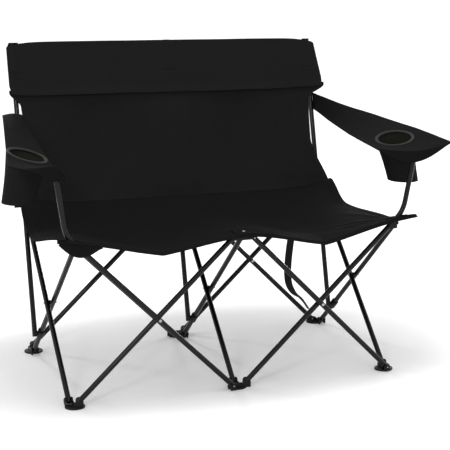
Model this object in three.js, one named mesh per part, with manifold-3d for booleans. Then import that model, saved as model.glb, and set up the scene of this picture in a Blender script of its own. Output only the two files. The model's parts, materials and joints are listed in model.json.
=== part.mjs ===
// Folding camping loveseat: a scissor frame of steel tube that carries a cloth seat, back and armrests.
// Millimetres, +Z up, +X to the viewer's right, +Y to the rear. The origin is the centre of the floor area.
import * as THREE from 'three';
import { mergeVertices } from 'three/addons/utils/BufferGeometryUtils.js';
import Module from 'manifold-3d';

const wasm = await Module();
wasm.setup();

// Frame sizes
const bayWidth = 520;
const outerPivotInset = 18;
const innerPivotInset = 28;
const footPivotHeight = 17;
const pivotRise = 457;
const pivotSpan = bayWidth - outerPivotInset - innerPivotInset;
const sidePivotSetback = 28;
const rearPlaneSetback = 38;

// Tube sizes
const tubeRadius = 8;
const tubeWall = 1;
const tubeEnd = 8;
const tubeGap = 4;
const tubeSides = 12;

// Pins, rivets and their clearances
const pinRadius = 2.5;
const pinHoleRadius = 2.8;
const headRadius = 5.2;
const headTopShare = 0.8;
const headHeight = 2.4;
const runningGap = 0.3;
const seatingGap = 0.3;
const pinSides = 8;
const cutOverrun = 2;

// Plastic feet and brackets
const plateThickness = 3.4;
const earRadius = 9;
const earThickness = 3.6;
const soleThickness = 5;
const soleRadius = 26;
const soleLengthShare = 1.16;
const soleSetback = 10;
const soleSides = 20;
const bracketRibRise = 2;

// Back uprights, their sliders and caps
const uprightSetback = 24;
const uprightLower = 390;
const uprightUpper = 529;
const capThickness = 4;
const plugRadius = 6.7;
const plugLength = 14;
const shoeLength = 22;
const shoeDrop = 10;
const shoeBossRadius = 7;
const sliderRadius = 12;
const sliderLength = 34;
const sliderFaceGap = 0.15;

// Arm posts, which continue the two outer front tubes
const postStraight = 61;
const postBendRadius = 95;
const postLean = THREE.MathUtils.degToRad(9.5);
const postTopHeight = 697;
const bendSteps = 6;

// Cloth
const clothThickness = 3;
const seatClearance = 15;
const seatFrontReach = 30;
const seatRearInset = 32.5;
const seatOverhang = 4;
const seatCornerReach = 52;
const seatCornerLength = 46;
const seatCornerLift = 22;
const seatSag = 78;
const seatSideSag = 25;
const seatLeftSag = 38;
const seatLeftReach = 40;
const seatFrontSagShare = 0.58;
const seatLeftBayShare = 0.84;
const seatRearSagShare = 0.02;
const seatRearRise = 10;
const seatHemDrop = 7;
const seatFreeStart = 48;
const seatFreeInset = 50;
const seatRowShare = 0.35;
const seatEdgePower = 8;
const seatLiftPower = 4;
const seatReachPower = 0.5;
const seatSidePower = 1.5;
const seatCreaseShare = 0.7;
const seatCreaseLength = 150;
const seatCreasePower = 1.5;
const seatStepsAcross = 24;
const seatStepsAlong = 12;
const seatRearCornerLength = 170;
const seatRearCornerLift = 26;
const seatRearCornerReach = 20;
const cornerPocketOuterShare = 0.995;
const cornerPocketInnerShare = 0.83;
const cornerPocketDepth = 34;
const cornerPocketEdge = 4;
const cornerPocketPeakShare = 0.42;
const cornerPocketPower = 1.15;
const cornerPocketBelly = 5;
const cornerPocketTuck = 6;
const cornerPocketThickness = 2;
const cornerPocketGap = 0.6;
const pocketStepsAcross = 14;
const pocketStepsDown = 6;
const postHoleLength = 52;
const postHoleWidth = 19;
const backClearance = 0.5;
const backEdgeInset = 8;
const backWaist = 9;
const backWaistPower = 0.8;
const backTopFlare = 30;
const backTopFlareShare = 0.12;
const backRightFlare = 30;
const backStepsAcross = 20;
const backStepsUp = 10;
const backBottomFlare = 46;
const backFlareShare = 0.5;
const backForward = 12.3;
const backForwardShare = 0.5;
const backSag = 26;
const backSagPower = 0.7;
const backBottomRise = 9;
const bandBottomHeight = 833;
const bandReach = 21;
const bandRightFlare = 27;
const bandBottomCutShare = 0.4;
const bandRise = 5;
const bandCornerCut = 15;
const bandCornerPower = 16;
const bandStepsAcross = 18;
const bandStepsUp = 8;
const bandBottomCutHeight = 0.2;
const bandTopCutHeight = 0.125;
const bandGap = 0.6;
const pocketLength = 92;
const pocketHalfWidth = 20;

// Armrests with their cup holders
const armThickness = 3;
const armSag = 8;
const armFrontDroop = 10;
const armDroopShare = 0.35;
const armTentShare = 0.22;
const armHemShare = 0.016;
const armColumns = 12;
const armRows = 12;
const armRowShare = 0.4;

// The right one stands on edge at its upright; the heights of its front corners are above the post's top
const rightRearLow = 752;
const rightRearHigh = 808;
const rightInnerReach = 114;
const rightOuterReach = 128;
const rightInnerRise = 12;
const rightOuterRise = 31;
const rightInnerSetback = 44;
const rightOuterSetback = 2;
const rightNoseReach = 46;
const rightHemDrop = 33;
const rightHemPeakShare = 0.35;
const rightHemPower = 1.8;
const rightOuterWave = 3;
const rightCupSetback = 118;
const rightCupShare = 0.475;
const rightPouchLean = 38;

// The left one has slid down and lies wide across its upright, and drapes down inside its post
const leftRearHeight = 768;
const leftRearRise = 5;
const leftRearInner = 12;
const leftRearOuter = 50;
const leftInnerReach = 23;
const leftOuterReach = 128;
const leftInnerDrop = 25;
const leftOuterRise = 25;
const leftTentRise = 46;
const leftInnerSetback = -26;
const leftOuterSetback = 2;
const leftNoseReach = 14;
const leftHemDrop = 42;
const leftHemPeakShare = 0.2;
const leftHemPower = 3.6;
const leftOuterWave = -5;
const leftCupSetback = 178;
const leftCupShare = 0.535;
const leftPouchLean = 27;

// Cup rims and pouches
const cupStepShare = 0.01;
const rimTubeRadius = 5;
const rimRingRadius = 57;
const rimSquashShare = 0.62;
const pouchTopRadius = 62;
const pouchFootRadius = 49;
const pouchDepth = 136;
const pouchWall = 2;
const cupSides = 20;

// Hanging strap
const strapWidth = 25;
const strapThickness = 1.8;
const strapInset = 30.8;

// Places worked out from the sizes above
const planeOffset = tubeRadius + tubeGap / 2;
const topPivotHeight = footPivotHeight + pivotRise;
const rearSidePivot = sidePivotSetback + pivotSpan;
const rearPlane = rearSidePivot + rearPlaneSetback;
const scissorLength = Math.hypot(pivotSpan, pivotRise);
const openAngle = Math.atan2(pivotSpan, pivotRise);
const plateReach = plateThickness / 2;
const earInner = planeOffset + tubeRadius + runningGap;
const uprightPivot = rearSidePivot + uprightSetback;
const backPlane = -(tubeRadius + backClearance + clothThickness / 2);
const seatRearSetback = rearPlane - seatRearInset;
const seatFreeEnd = rearPlane - seatFreeInset;
const strapSetback = rearPlane - strapInset;
const backBottomHeight = topPivotHeight + backBottomRise;
const backHalfWidth = bayWidth - backEdgeInset;
const seatHalfWidth = bayWidth + seatOverhang;
const bandHalfWidth = bayWidth + bandReach;

// Where an upright's lower end meets the side tube that climbs to the front, and how far the upright leans
const meetHalf = pivotRise * Math.cos(openAngle) - uprightSetback * Math.sin(openAngle);
const meetRest = uprightSetback ** 2 + pivotRise ** 2 - uprightLower ** 2;
const sliderDistance = meetHalf - Math.sqrt(meetHalf ** 2 - meetRest);
const uprightLean = Math.asin((uprightSetback + sliderDistance * Math.sin(openAngle)) / uprightLower);

// Finishes
const finish = (color, roughness, metalness) =>
  new THREE.MeshStandardMaterial({ color, roughness, metalness });
const blackSteel = finish(0x141516, 0.36, 0.55);
const brightSteel = finish(0xb9bcc0, 0.3, 0.95);
const blackPlastic = finish(0x101010, 0.55, 0);
const seatCloth = finish(0x1a1b1c, 0.9, 0);
const backCloth = finish(0x1d1e1f, 0.9, 0);
const rimBinding = finish(0x2b2d2b, 0.8, 0);
const webbing = finish(0x17181a, 0.85, 0);

const loveseat = new THREE.Group();
const parts = new THREE.Group();
loveseat.add(parts);

// A closed geometry becomes a solid, and a solid a geometry
function solidOf(geometry) {
  const bare = geometry.index ? geometry.toNonIndexed() : geometry.clone();
  bare.deleteAttribute('normal');
  bare.deleteAttribute('uv');
  const merged = mergeVertices(bare);
  const vertProperties = new Float32Array(merged.attributes.position.array);
  const triVerts = new Uint32Array(merged.index.array);
  return new wasm.Manifold(new wasm.Mesh({ numProp: 3, vertProperties, triVerts }));
}

function geometryOf(solid) {
  const mesh = solid.getMesh();
  const geometry = new THREE.BufferGeometry();
  geometry.setAttribute('position', new THREE.BufferAttribute(new Float32Array(mesh.vertProperties), 3));
  geometry.setIndex(new THREE.BufferAttribute(new Uint32Array(mesh.triVerts), 1));
  return geometry;
}

function addPiece(name, material, geometry, place = new THREE.Vector3(), turn = new THREE.Euler()) {
  const mesh = new THREE.Mesh(geometry, material);
  mesh.name = name;
  mesh.position.copy(place);
  mesh.rotation.copy(turn);
  parts.add(mesh);
  return mesh;
}

// A round bar between two points
function bar(from, to, radius, sides = pinSides) {
  const along = new THREE.Vector3().subVectors(to, from);
  const geometry = new THREE.CylinderGeometry(radius, radius, along.length(), sides);
  const upright = new THREE.Vector3(0, 1, 0);
  geometry.applyQuaternion(new THREE.Quaternion().setFromUnitVectors(upright, along.clone().normalize()));
  geometry.translate((from.x + to.x) / 2, (from.y + to.y) / 2, (from.z + to.z) / 2);
  return solidOf(geometry);
}

// A box between two corners, given in any order
function block(x0, y0, z0, x1, y1, z1) {
  const geometry = new THREE.BoxGeometry(Math.abs(x1 - x0), Math.abs(y1 - y0), Math.abs(z1 - z0));
  geometry.translate((x0 + x1) / 2, (y0 + y1) / 2, (z0 + z1) / 2);
  return solidOf(geometry);
}

// A closed skin through rings of points, each ring with as many points
function skin(rings) {
  const count = rings[0].length;
  const points = rings.flat();
  const index = [];
  for (let r = 0; r + 1 < rings.length; r += 1) {
    for (let i = 0; i < count; i += 1) {
      const a = r * count + i;
      const b = r * count + ((i + 1) % count);
      index.push(a, b, b + count, a, b + count, a + count);
    }
  }
  const centreOf = (ring) => ring.reduce((sum, p) => sum.add(p), new THREE.Vector3()).divideScalar(count);
  const first = points.push(centreOf(rings[0])) - 1;
  const last = points.push(centreOf(rings[rings.length - 1])) - 1;
  const lastRing = (rings.length - 1) * count;
  for (let i = 0; i < count; i += 1) {
    const next = (i + 1) % count;
    index.push(first, next, i, last, lastRing + i, lastRing + next);
  }
  const geometry = new THREE.BufferGeometry().setFromPoints(points);
  geometry.setIndex(index);
  return geometry;
}

// A sheet of cloth: the surface function gives the middle of the cloth, and the offset its half thickness
function sheet(columns, rows, surface, offsetAt) {
  const points = [];
  for (const side of [1, -1]) {
    for (let j = 0; j <= rows; j += 1) {
      for (let i = 0; i <= columns; i += 1) {
        const [u, v] = [i / columns, j / rows];
        points.push(surface(u, v).addScaledVector(offsetAt(u, v), side));
      }
    }
  }
  const across = columns + 1;
  const layer = across * (rows + 1);
  const index = [];
  const quad = (a, b, c, d) => index.push(a, b, c, a, c, d);
  for (let j = 0; j < rows; j += 1) {
    for (let i = 0; i < columns; i += 1) {
      const a = j * across + i;
      quad(a, a + 1, a + 1 + across, a + across);
      quad(a + layer, a + across + layer, a + 1 + across + layer, a + 1 + layer);
    }
  }
  for (let i = 0; i < columns; i += 1) {
    const far = rows * across + i;
    quad(i + 1, i, i + layer, i + 1 + layer);
    quad(far, far + 1, far + 1 + layer, far + layer);
  }
  for (let j = 0; j < rows; j += 1) {
    const a = j * across;
    const b = a + columns;
    quad(a, a + across, a + across + layer, a + layer);
    quad(b + across, b, b + layer, b + across + layer);
  }
  const geometry = new THREE.BufferGeometry().setFromPoints(points);
  geometry.setIndex(index);
  return geometry;
}

const axisVector = (axis) =>
  new THREE.Vector3(axis === 'x' ? 1 : 0, axis === 'y' ? 1 : 0, axis === 'z' ? 1 : 0);

// A pin hole across a tube that stands along Z
function pinHole(height, axis) {
  const reach = axisVector(axis).multiplyScalar(tubeRadius + cutOverrun);
  const centre = new THREE.Vector3(0, 0, height);
  return bar(centre.clone().sub(reach), centre.clone().add(reach), pinHoleRadius);
}

// A straight tube along Z, open at both ends, with its pin holes
function straightTube(low, high, holes, axis) {
  const lowest = new THREE.Vector3(0, 0, low);
  const highest = new THREE.Vector3(0, 0, high);
  const overrun = new THREE.Vector3(0, 0, cutOverrun);
  const boreLow = lowest.clone().sub(overrun);
  const boreHigh = highest.clone().add(overrun);
  let tube = bar(lowest, highest, tubeRadius, tubeSides);
  tube = tube.subtract(bar(boreLow, boreHigh, tubeRadius - tubeWall, tubeSides));
  for (const height of holes) {
    tube = tube.subtract(pinHole(height, axis));
  }
  return geometryOf(tube);
}

const scissorHoles = [0, scissorLength / 2, scissorLength];

// Turns that lay a tube in the front and rear planes, or in the side planes
const lean = { right: new THREE.Euler(0, openAngle, 0), left: new THREE.Euler(0, -openAngle, 0) };
const pitch = { rear: new THREE.Euler(-openAngle, 0, 0), front: new THREE.Euler(openAngle, 0, 0) };

function scissorTube(name, axis, foot, turn) {
  const geometry = straightTube(-tubeEnd, scissorLength + tubeEnd, scissorHoles, axis);
  addPiece(name, blackSteel, geometry, foot, turn);
}

// The front tube that goes on past its top pivot, bends and stands up as the arm post
function armTubeStations(extra) {
  const turn = openAngle - postLean;
  const bendStart = scissorLength + postStraight - postBendRadius * Math.tan(turn / 2);
  const stations = [{ x: 0, z: -tubeEnd - extra, angle: 0 }];
  for (let i = 0; i <= bendSteps; i += 1) {
    const angle = (turn * i) / bendSteps;
    const x = postBendRadius * (1 - Math.cos(angle));
    stations.push({ x, z: bendStart + postBendRadius * Math.sin(angle), angle });
  }
  const end = stations[stations.length - 1];
  const rise = footPivotHeight + end.z * Math.cos(openAngle) + end.x * Math.sin(openAngle);
  const left = (postTopHeight - rise) / Math.cos(postLean) + extra;
  stations.push({ x: end.x + left * Math.sin(turn), z: end.z + left * Math.cos(turn), angle: turn });
  return stations;
}

function bentBar(stations, radius, side) {
  const rings = stations.map(({ x, z, angle }) => {
    const ring = [];
    for (let i = 0; i < tubeSides; i += 1) {
      const around = (2 * Math.PI * i) / tubeSides;
      const out = radius * Math.cos(around);
      const across = side * (x + out * Math.cos(angle));
      ring.push(new THREE.Vector3(across, side * radius * Math.sin(around), z - out * Math.sin(angle)));
    }
    return ring;
  });
  return solidOf(skin(rings));
}

function armTube(name, foot, turn, side) {
  let tube = bentBar(armTubeStations(0), tubeRadius, side);
  tube = tube.subtract(bentBar(armTubeStations(cutOverrun), tubeRadius - tubeWall, side));
  for (const height of scissorHoles) {
    tube = tube.subtract(pinHole(height, 'y'));
  }
  addPiece(name, blackSteel, geometryOf(tube), foot, turn);
}

// A rivet along Y through two crossing tubes, with the washer that keeps them apart
function crossRivet(name, place, turn) {
  const washer = tubeGap / 2 - runningGap;
  const washerRadius = headRadius + runningGap;
  const under = earInner;
  const top = earInner + headHeight;
  const half = [
    [pinRadius, washer],
    [pinRadius, under],
    [headRadius, under],
    [headRadius * headTopShare, top],
    [0, top],
  ];
  const profile = half.map(([r, h]) => new THREE.Vector2(r, h));
  profile.unshift(new THREE.Vector2(washerRadius, washer));
  const lower = profile.map((p) => new THREE.Vector2(p.x, -p.y)).reverse();
  addPiece(name, brightSteel, new THREE.LatheGeometry([...lower, ...profile], pinSides), place, turn);
}

// One pin through a tube: a plate on one side of the tube, and an ear or a rivet head on the other
// The place is the middle of the tube at the pivot, and the side tells where the plate is not
function pinWithPlates({ x, y, z, axis, side, ear, floor }) {
  const along = axisVector(axis).multiplyScalar(side);
  const at = (distance) => new THREE.Vector3(x, y, z).addScaledVector(along, distance);
  const plateFace = planeOffset - plateReach;
  const tubeFace = tubeRadius + runningGap;
  const earFace = tubeFace + (ear ? earThickness : 0);
  const pieces = [
    bar(at(-planeOffset), at(earFace + headHeight / 2), pinRadius),
    bar(at(earFace - (ear ? headHeight / 2 : 0)), at(earFace + headHeight), headRadius),
    bar(at(-planeOffset - plateReach), at(-plateFace), earRadius, tubeSides),
  ];
  if (ear) {
    pieces.push(bar(at(tubeFace), at(earFace), earRadius, tubeSides));
    const a = at(tubeFace);
    const b = at(earFace);
    const wide = axis === 'x' ? new THREE.Vector3(0, earRadius, 0) : new THREE.Vector3(earRadius, 0, 0);
    pieces.push(block(a.x - wide.x, a.y - wide.y, floor, b.x + wide.x, b.y + wide.y, z));
  }
  return pieces;
}

const joined = (pieces) => pieces.reduce((whole, piece) => whole.add(piece));

// The upright plates that carry the pins: one along X in its plane, and one along Y in the side plane
function crossPlates({ plane, fromX, toX, sideX, fromY, toY, low, high, ribHigh }) {
  return [
    block(fromX, plane - plateReach, low, toX, plane + plateReach, high),
    block(sideX - plateReach, fromY, low, sideX + plateReach, toY, ribHigh),
  ];
}

// A plastic foot: a round sole, the plates and an ear on the far side of each tube
function foot(name, x, plane, pivots, sidePivot) {
  const inward = Math.sign(rearPlane / 2 - plane);
  const z = footPivotHeight;
  const sole = new THREE.CylinderGeometry(soleRadius, soleRadius, soleThickness, soleSides);
  sole.rotateX(Math.PI / 2);
  const middle = pivots.reduce((sum, p) => sum + p.x, sidePivot.x) / (pivots.length + 1);
  sole.scale(soleLengthShare, 1, 1);
  sole.translate(middle, plane + inward * soleSetback, soleThickness / 2);
  const pivotXs = pivots.map((p) => p.x);
  const sideEdge = sidePivot.y + inward * earRadius;
  const pieces = [
    solidOf(sole),
    ...crossPlates({
      plane,
      fromX: Math.min(x - plateReach, ...pivotXs.map((p) => p - earRadius)),
      toX: Math.max(x + plateReach, ...pivotXs.map((p) => p + earRadius)),
      sideX: x,
      fromY: Math.min(plane, sideEdge),
      toY: Math.max(plane, sideEdge),
      low: 0,
      high: z,
      ribHigh: z,
    }),
  ];
  const floor = soleThickness / 2;
  for (const p of [...pivots, sidePivot]) {
    pieces.push(...pinWithPlates({ ...p, z, ear: true, floor }));
  }
  addPiece(name, blackPlastic, geometryOf(joined(pieces)));
}

// A plastic bracket that joins the tops of the tubes at one corner or at the middle
function bracket(name, x, plane, pivots, sidePivots) {
  const z = topPivotHeight;
  const pivotXs = pivots.map((p) => p.x);
  const sideYs = sidePivots.map((p) => p.y);
  const pieces = crossPlates({
    plane,
    fromX: Math.min(x - plateReach, ...pivotXs.map((p) => p - earRadius)),
    toX: Math.max(x + plateReach, ...pivotXs.map((p) => p + earRadius)),
    sideX: x,
    fromY: Math.min(plane, ...sideYs),
    toY: Math.max(plane, ...sideYs),
    low: z - earRadius,
    high: z + bracketRibRise,
    ribHigh: z + bracketRibRise,
  });
  for (const p of [...pivots, ...sidePivots]) {
    pieces.push(...pinWithPlates({ ...p, z, ear: false, floor: z }));
  }
  addPiece(name, blackPlastic, geometryOf(joined(pieces)));
}

const columns = [
  { word: 'left', x: -bayWidth, inward: [1] },
  { word: 'centre', x: 0, inward: [-1, 1] },
  { word: 'right', x: bayWidth, inward: [-1] },
];

// Pivots in a front or rear plane: tubes that climb to the right lie behind the plate, the others before it
function planePivots(column, plane, atTop) {
  return column.inward.map((inward) => {
    const inset = column.x === 0 ? innerPivotInset : outerPivotInset;
    const climbsRight = atTop ? inward < 0 : inward > 0;
    const side = climbsRight ? 1 : -1;
    return { x: column.x + inward * inset, y: plane + side * planeOffset, axis: 'y', side };
  });
}

for (const column of columns) {
  const { word, x } = column;
  const towardFrontTop = { x: x + planeOffset, axis: 'x', side: 1 };
  const towardRearTop = { x: x - planeOffset, axis: 'x', side: -1 };
  foot(`front_${word}_foot`, x, 0, planePivots(column, 0, false), { ...towardRearTop, y: sidePivotSetback });
  foot(`rear_${word}_foot`, x, rearPlane, planePivots(column, rearPlane, false),
    { ...towardFrontTop, y: rearSidePivot });
  bracket(`front_${word}_bracket`, x, 0, planePivots(column, 0, true),
    [{ ...towardFrontTop, y: sidePivotSetback }]);
  bracket(`rear_${word}_bracket`, x, rearPlane, planePivots(column, rearPlane, true),
    [{ ...towardRearTop, y: rearSidePivot }, { ...towardRearTop, y: uprightPivot }]);
}

// Front and rear scissors: two bays, each with a tube that climbs right and one that climbs left
const nearX = bayWidth - outerPivotInset;
const at = (x, y) => new THREE.Vector3(x, y, footPivotHeight);
scissorTube('front_left_cross_tube', 'y', at(-nearX, planeOffset), lean.right);
armTube('front_left_arm_tube', at(-innerPivotInset, -planeOffset), lean.left, 1);
armTube('front_right_arm_tube', at(innerPivotInset, planeOffset), lean.right, -1);
scissorTube('front_right_cross_tube', 'y', at(nearX, -planeOffset), lean.left);
scissorTube('rear_left_outer_tube', 'y', at(-nearX, rearPlane + planeOffset), lean.right);
scissorTube('rear_left_inner_tube', 'y', at(-innerPivotInset, rearPlane - planeOffset), lean.left);
scissorTube('rear_right_inner_tube', 'y', at(innerPivotInset, rearPlane + planeOffset), lean.right);
scissorTube('rear_right_outer_tube', 'y', at(nearX, rearPlane - planeOffset), lean.left);

// Side scissors: a tube from the front foot to the rear bracket, and one from the rear foot to the front bracket
const crossHeight = footPivotHeight + pivotRise / 2;
const crossX = (nearX + innerPivotInset) / 2;
const alongY = new THREE.Euler();
const alongX = new THREE.Euler(0, 0, -Math.PI / 2);
for (const { word, x } of columns) {
  scissorTube(`${word}_side_front_tube`, 'x', at(x - planeOffset, sidePivotSetback), pitch.rear);
  scissorTube(`${word}_side_rear_tube`, 'x', at(x + planeOffset, rearSidePivot), pitch.front);
  const middle = new THREE.Vector3(x, sidePivotSetback + pivotSpan / 2, crossHeight);
  crossRivet(`${word}_side_rivet`, middle, alongX);
}
for (const [word, side] of [['left', -1], ['right', 1]]) {
  crossRivet(`front_${word}_rivet`, new THREE.Vector3(side * crossX, 0, crossHeight), alongY);
  crossRivet(`rear_${word}_rivet`, new THREE.Vector3(side * crossX, rearPlane, crossHeight), alongY);
}

// A plug with a round flange that closes a tube end; the flange starts at the given height along Z
function tubeCap(start, direction) {
  const z = (distance) => new THREE.Vector3(0, 0, start + direction * distance);
  const plug = bar(z(-plugLength), z(seatingGap), plugRadius, tubeSides);
  return plug.add(bar(z(seatingGap), z(seatingGap + capThickness), tubeRadius, tubeSides));
}

const backTurn = new THREE.Euler(-uprightLean, 0, 0);
const backPlace = (x) => new THREE.Vector3(x, uprightPivot, topPivotHeight);
const capLip = seatingGap + capThickness;

for (const { word, x } of columns) {
  const place = backPlace(x - planeOffset);
  const tubeLow = -uprightLower + shoeLength - shoeDrop;
  const tube = straightTube(tubeLow + seatingGap, uprightUpper, [0], 'x');
  addPiece(`${word}_upright`, blackSteel, tube, place, backTurn);
  addPiece(`${word}_upright_cap`, blackPlastic, geometryOf(tubeCap(uprightUpper, 1)), place, backTurn);

  // The shoe on the upright's lower end, with the boss that bears on the slider
  const shoeFoot = new THREE.Vector3(0, 0, -uprightLower - shoeDrop);
  const shoeTop = new THREE.Vector3(0, 0, tubeLow);
  const plugTop = new THREE.Vector3(0, 0, tubeLow + plugLength);
  const bossStart = new THREE.Vector3(0, 0, -uprightLower);
  const bossEnd = new THREE.Vector3(planeOffset - sliderFaceGap, 0, -uprightLower);
  const shoe = bar(shoeFoot, shoeTop, tubeRadius, tubeSides)
    .add(bar(shoeFoot, plugTop, plugRadius, tubeSides))
    .add(bar(bossStart, bossEnd, shoeBossRadius, tubeSides));
  addPiece(`${word}_upright_shoe`, blackPlastic, geometryOf(shoe), place, backTurn);

  // The slider that runs on the side tube
  const half = sliderLength / 2;
  const collar = bar(new THREE.Vector3(0, 0, -half), new THREE.Vector3(0, 0, half), sliderRadius, tubeSides);
  const boreLow = new THREE.Vector3(0, 0, -half - cutOverrun);
  const boreHigh = new THREE.Vector3(0, 0, half + cutOverrun);
  const bore = bar(boreLow, boreHigh, tubeRadius + runningGap, tubeSides);
  const flat = sliderFaceGap - planeOffset;
  const faced = block(flat, -2 * half, -2 * half, flat - sliderRadius, 2 * half, 2 * half);
  const sliderPlace = new THREE.Vector3(
    x + planeOffset,
    rearSidePivot - sliderDistance * Math.sin(openAngle),
    footPivotHeight + sliderDistance * Math.cos(openAngle),
  );
  const slider = geometryOf(collar.subtract(bore).subtract(faced));
  addPiece(`${word}_slider`, blackPlastic, slider, sliderPlace, pitch.front);
}

// Where an arm post ends, and the cap on it
const postStations = armTubeStations(0);
const postEnd = postStations[postStations.length - 1];
function postTop(side) {
  const outward = postEnd.z * Math.sin(openAngle) - postEnd.x * Math.cos(openAngle);
  const height = footPivotHeight + postEnd.z * Math.cos(openAngle) + postEnd.x * Math.sin(openAngle);
  return new THREE.Vector3(side * (innerPivotInset + outward), side * planeOffset, height);
}
for (const [word, side] of [['left', -1], ['right', 1]]) {
  const turn = new THREE.Euler(0, side * postLean, 0);
  addPiece(`${word}_post_cap`, blackPlastic, geometryOf(tubeCap(0, 1)), postTop(side), turn);
}

// The seat: one cloth over both bays that hangs between the brackets
const hemFront = -seatFrontReach;
const hemFold = -(planeOffset + tubeRadius + headHeight);
const seatBase = topPivotHeight + seatClearance;
const smooth = (t) => THREE.MathUtils.smoothstep(t, 0, 1);
const clamp = (t) => THREE.MathUtils.clamp(t, 0, 1);
const bayCurve = (across) => Math.sin(Math.PI * Math.min(1, Math.abs(across))) ** 2;
function seatSurface(u, v) {
  const across = 2 * u - 1;
  const along = seatRowShare * v + (1 - seatRowShare) * v * v;
  const y = hemFront + along * (seatRearSetback - hemFront);
  const corner = smooth(1 - (y - hemFront) / (2 * seatCornerLength));
  const creased = seatCreaseShare * smooth(1 - (y - hemFront) / seatCreaseLength);
  const ridge = (1 - Math.abs(2 * Math.abs(across) - 1)) ** seatCreasePower;
  const bay = bayCurve(across) * (1 - creased) + ridge * creased;
  const freeShare = clamp((y - seatFreeStart) / (seatFreeEnd - seatFreeStart));
  const free = Math.sin(Math.PI * freeShare);
  const leftward = Math.max(0, -across) ** seatEdgePower;
  const atEdge = Math.abs(across) ** seatEdgePower;
  const rearCorner = smooth(1 - (seatRearSetback - y) / seatRearCornerLength) * atEdge;
  const cornerReach = seatCornerReach * corner * atEdge + seatRearCornerReach * rearCorner;
  const x = across * (seatHalfWidth + cornerReach + seatLeftReach * free ** seatReachPower * leftward);
  const frontShare = seatFrontSagShare * (across < 0 ? seatLeftBayShare : 1);
  const edgeShare = frontShare + (seatRearSagShare - frontShare) * along;
  const depth = seatSag * (edgeShare + (1 - seatFrontSagShare) * free);
  const sideSag = seatSideSag + seatLeftSag * leftward;
  const held = sideSag * Math.sin(Math.PI * freeShare ** seatSidePower) * (1 - bay);
  const frontLift = seatCornerLift * corner * Math.abs(across) ** seatLiftPower;
  const lift = frontLift + seatRearCornerLift * rearCorner;
  const hem = seatHemDrop * smooth((hemFold - y) / (hemFold - hemFront));
  const rise = seatRearRise * smooth(along);
  return new THREE.Vector3(x, y, seatBase + lift + rise - hem - depth * bay - held);
}
const levelOffset = () => new THREE.Vector3(0, 0, clothThickness / 2);
let seatSolid = solidOf(sheet(seatStepsAcross, seatStepsAlong, seatSurface, levelOffset));
for (const side of [-1, 1]) {
  const y = side * planeOffset;
  const mid = nearX + (seatBase - topPivotHeight + clothThickness) * Math.tan(openAngle);
  const from = side * (mid - postHoleLength / 2);
  const to = side * (mid + postHoleLength / 2);
  const low = seatBase - seatSag;
  const high = seatBase + seatSag;
  seatSolid = seatSolid.subtract(block(from, y - postHoleWidth / 2, low, to, y + postHoleWidth / 2, high));
}
addPiece('seat_panel', seatCloth, geometryOf(seatSolid));

// The pocket that hangs from the hem at the left front corner, in front of the bracket
const peak = (share, at, power) => Math.sin(Math.PI * share ** (Math.log(0.5) / Math.log(at))) ** power;
function cornerPocketSurface(u, v) {
  const across = u * (cornerPocketOuterShare - cornerPocketInnerShare) - cornerPocketOuterShare;
  const hem = seatSurface((1 + across) / 2, 0);
  const depth = cornerPocketEdge + cornerPocketDepth * peak(u, cornerPocketPeakShare, cornerPocketPower);
  const forward = cornerPocketBelly * Math.sin(Math.PI * v) - cornerPocketTuck * v;
  const top = hem.z - clothThickness / 2 - cornerPocketGap;
  return new THREE.Vector3(hem.x, hem.y + cornerPocketThickness / 2 - forward, top - v * depth);
}
const cornerPocketOffset = () => new THREE.Vector3(0, cornerPocketThickness / 2, 0);
addPiece('left_corner_pocket', seatCloth, sheet(pocketStepsAcross, pocketStepsDown, cornerPocketSurface, cornerPocketOffset));

// The back, drawn in the uprights' own frame: X across, Y to the rear, Z along the uprights
const alongUpright = (height) => (height - topPivotHeight) / Math.cos(uprightLean);
const bandBottom = alongUpright(bandBottomHeight);
const bandTop = uprightUpper + capLip + bandRise;
const backBottom = alongUpright(backBottomHeight);
const backTop = bandBottom - bandGap;
function backSurface(u, v) {
  const across = 2 * u - 1;
  const z = backBottom + v * (backTop - backBottom);
  const waist = backWaist * Math.sin(Math.PI * v) ** backWaistPower;
  const rightward = Math.max(0, across) ** seatEdgePower;
  const topFlare = (backTopFlare + backRightFlare * rightward) * (1 - smooth((1 - v) / backTopFlareShare));
  const bottomFlare = backBottomFlare * (1 - smooth(v / backFlareShare));
  const halfWidth = backHalfWidth - waist + topFlare + bottomFlare;
  const forward = backForward * (1 - smooth(v / backForwardShare));
  const hollow = backSag * bayCurve(across) * Math.sin(Math.PI * v) ** backSagPower;
  return new THREE.Vector3(across * halfWidth, backPlane - forward + hollow, z);
}
const backOffset = () => new THREE.Vector3(0, -clothThickness / 2, 0);
const backCentre = backPlace(-planeOffset);
addPiece('back_panel', backCloth, sheet(backStepsAcross, backStepsUp, backSurface, backOffset), backCentre, backTurn);

// The head band: a strip of cloth with a pocket over each upright's top
function bandSurface(u, v) {
  const across = 2 * u - 1;
  const z = bandBottom + v * (bandTop - bandBottom);
  const end = Math.abs(across) ** bandCornerPower;
  const bottomCut = bandBottomCutShare * clamp(1 - v / bandBottomCutHeight);
  const cut = bandCornerCut * (bottomCut + clamp(1 - (1 - v) / bandTopCutHeight));
  const flare = bandRightFlare * (1 - v) * Math.max(0, across) ** seatEdgePower;
  return new THREE.Vector3(across * (bandHalfWidth - cut) + flare, backPlane, z - end * cut * (2 * v - 1));
}
let band = solidOf(sheet(bandStepsAcross, bandStepsUp, bandSurface, backOffset));
const pocketFace = tubeRadius + backClearance;
for (const { x } of columns) {
  const outer = pocketFace + clothThickness;
  const floor = uprightUpper + capLip + seatingGap;
  const low = uprightUpper - pocketLength;
  const top = floor + clothThickness;
  const pocket = block(x - pocketHalfWidth, -outer, low, x + pocketHalfWidth, outer, top);
  const inside = block(x - pocketFace, -pocketFace, low - cutOverrun, x + pocketFace, pocketFace, floor);
  band = band.add(pocket.subtract(inside));
}
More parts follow.
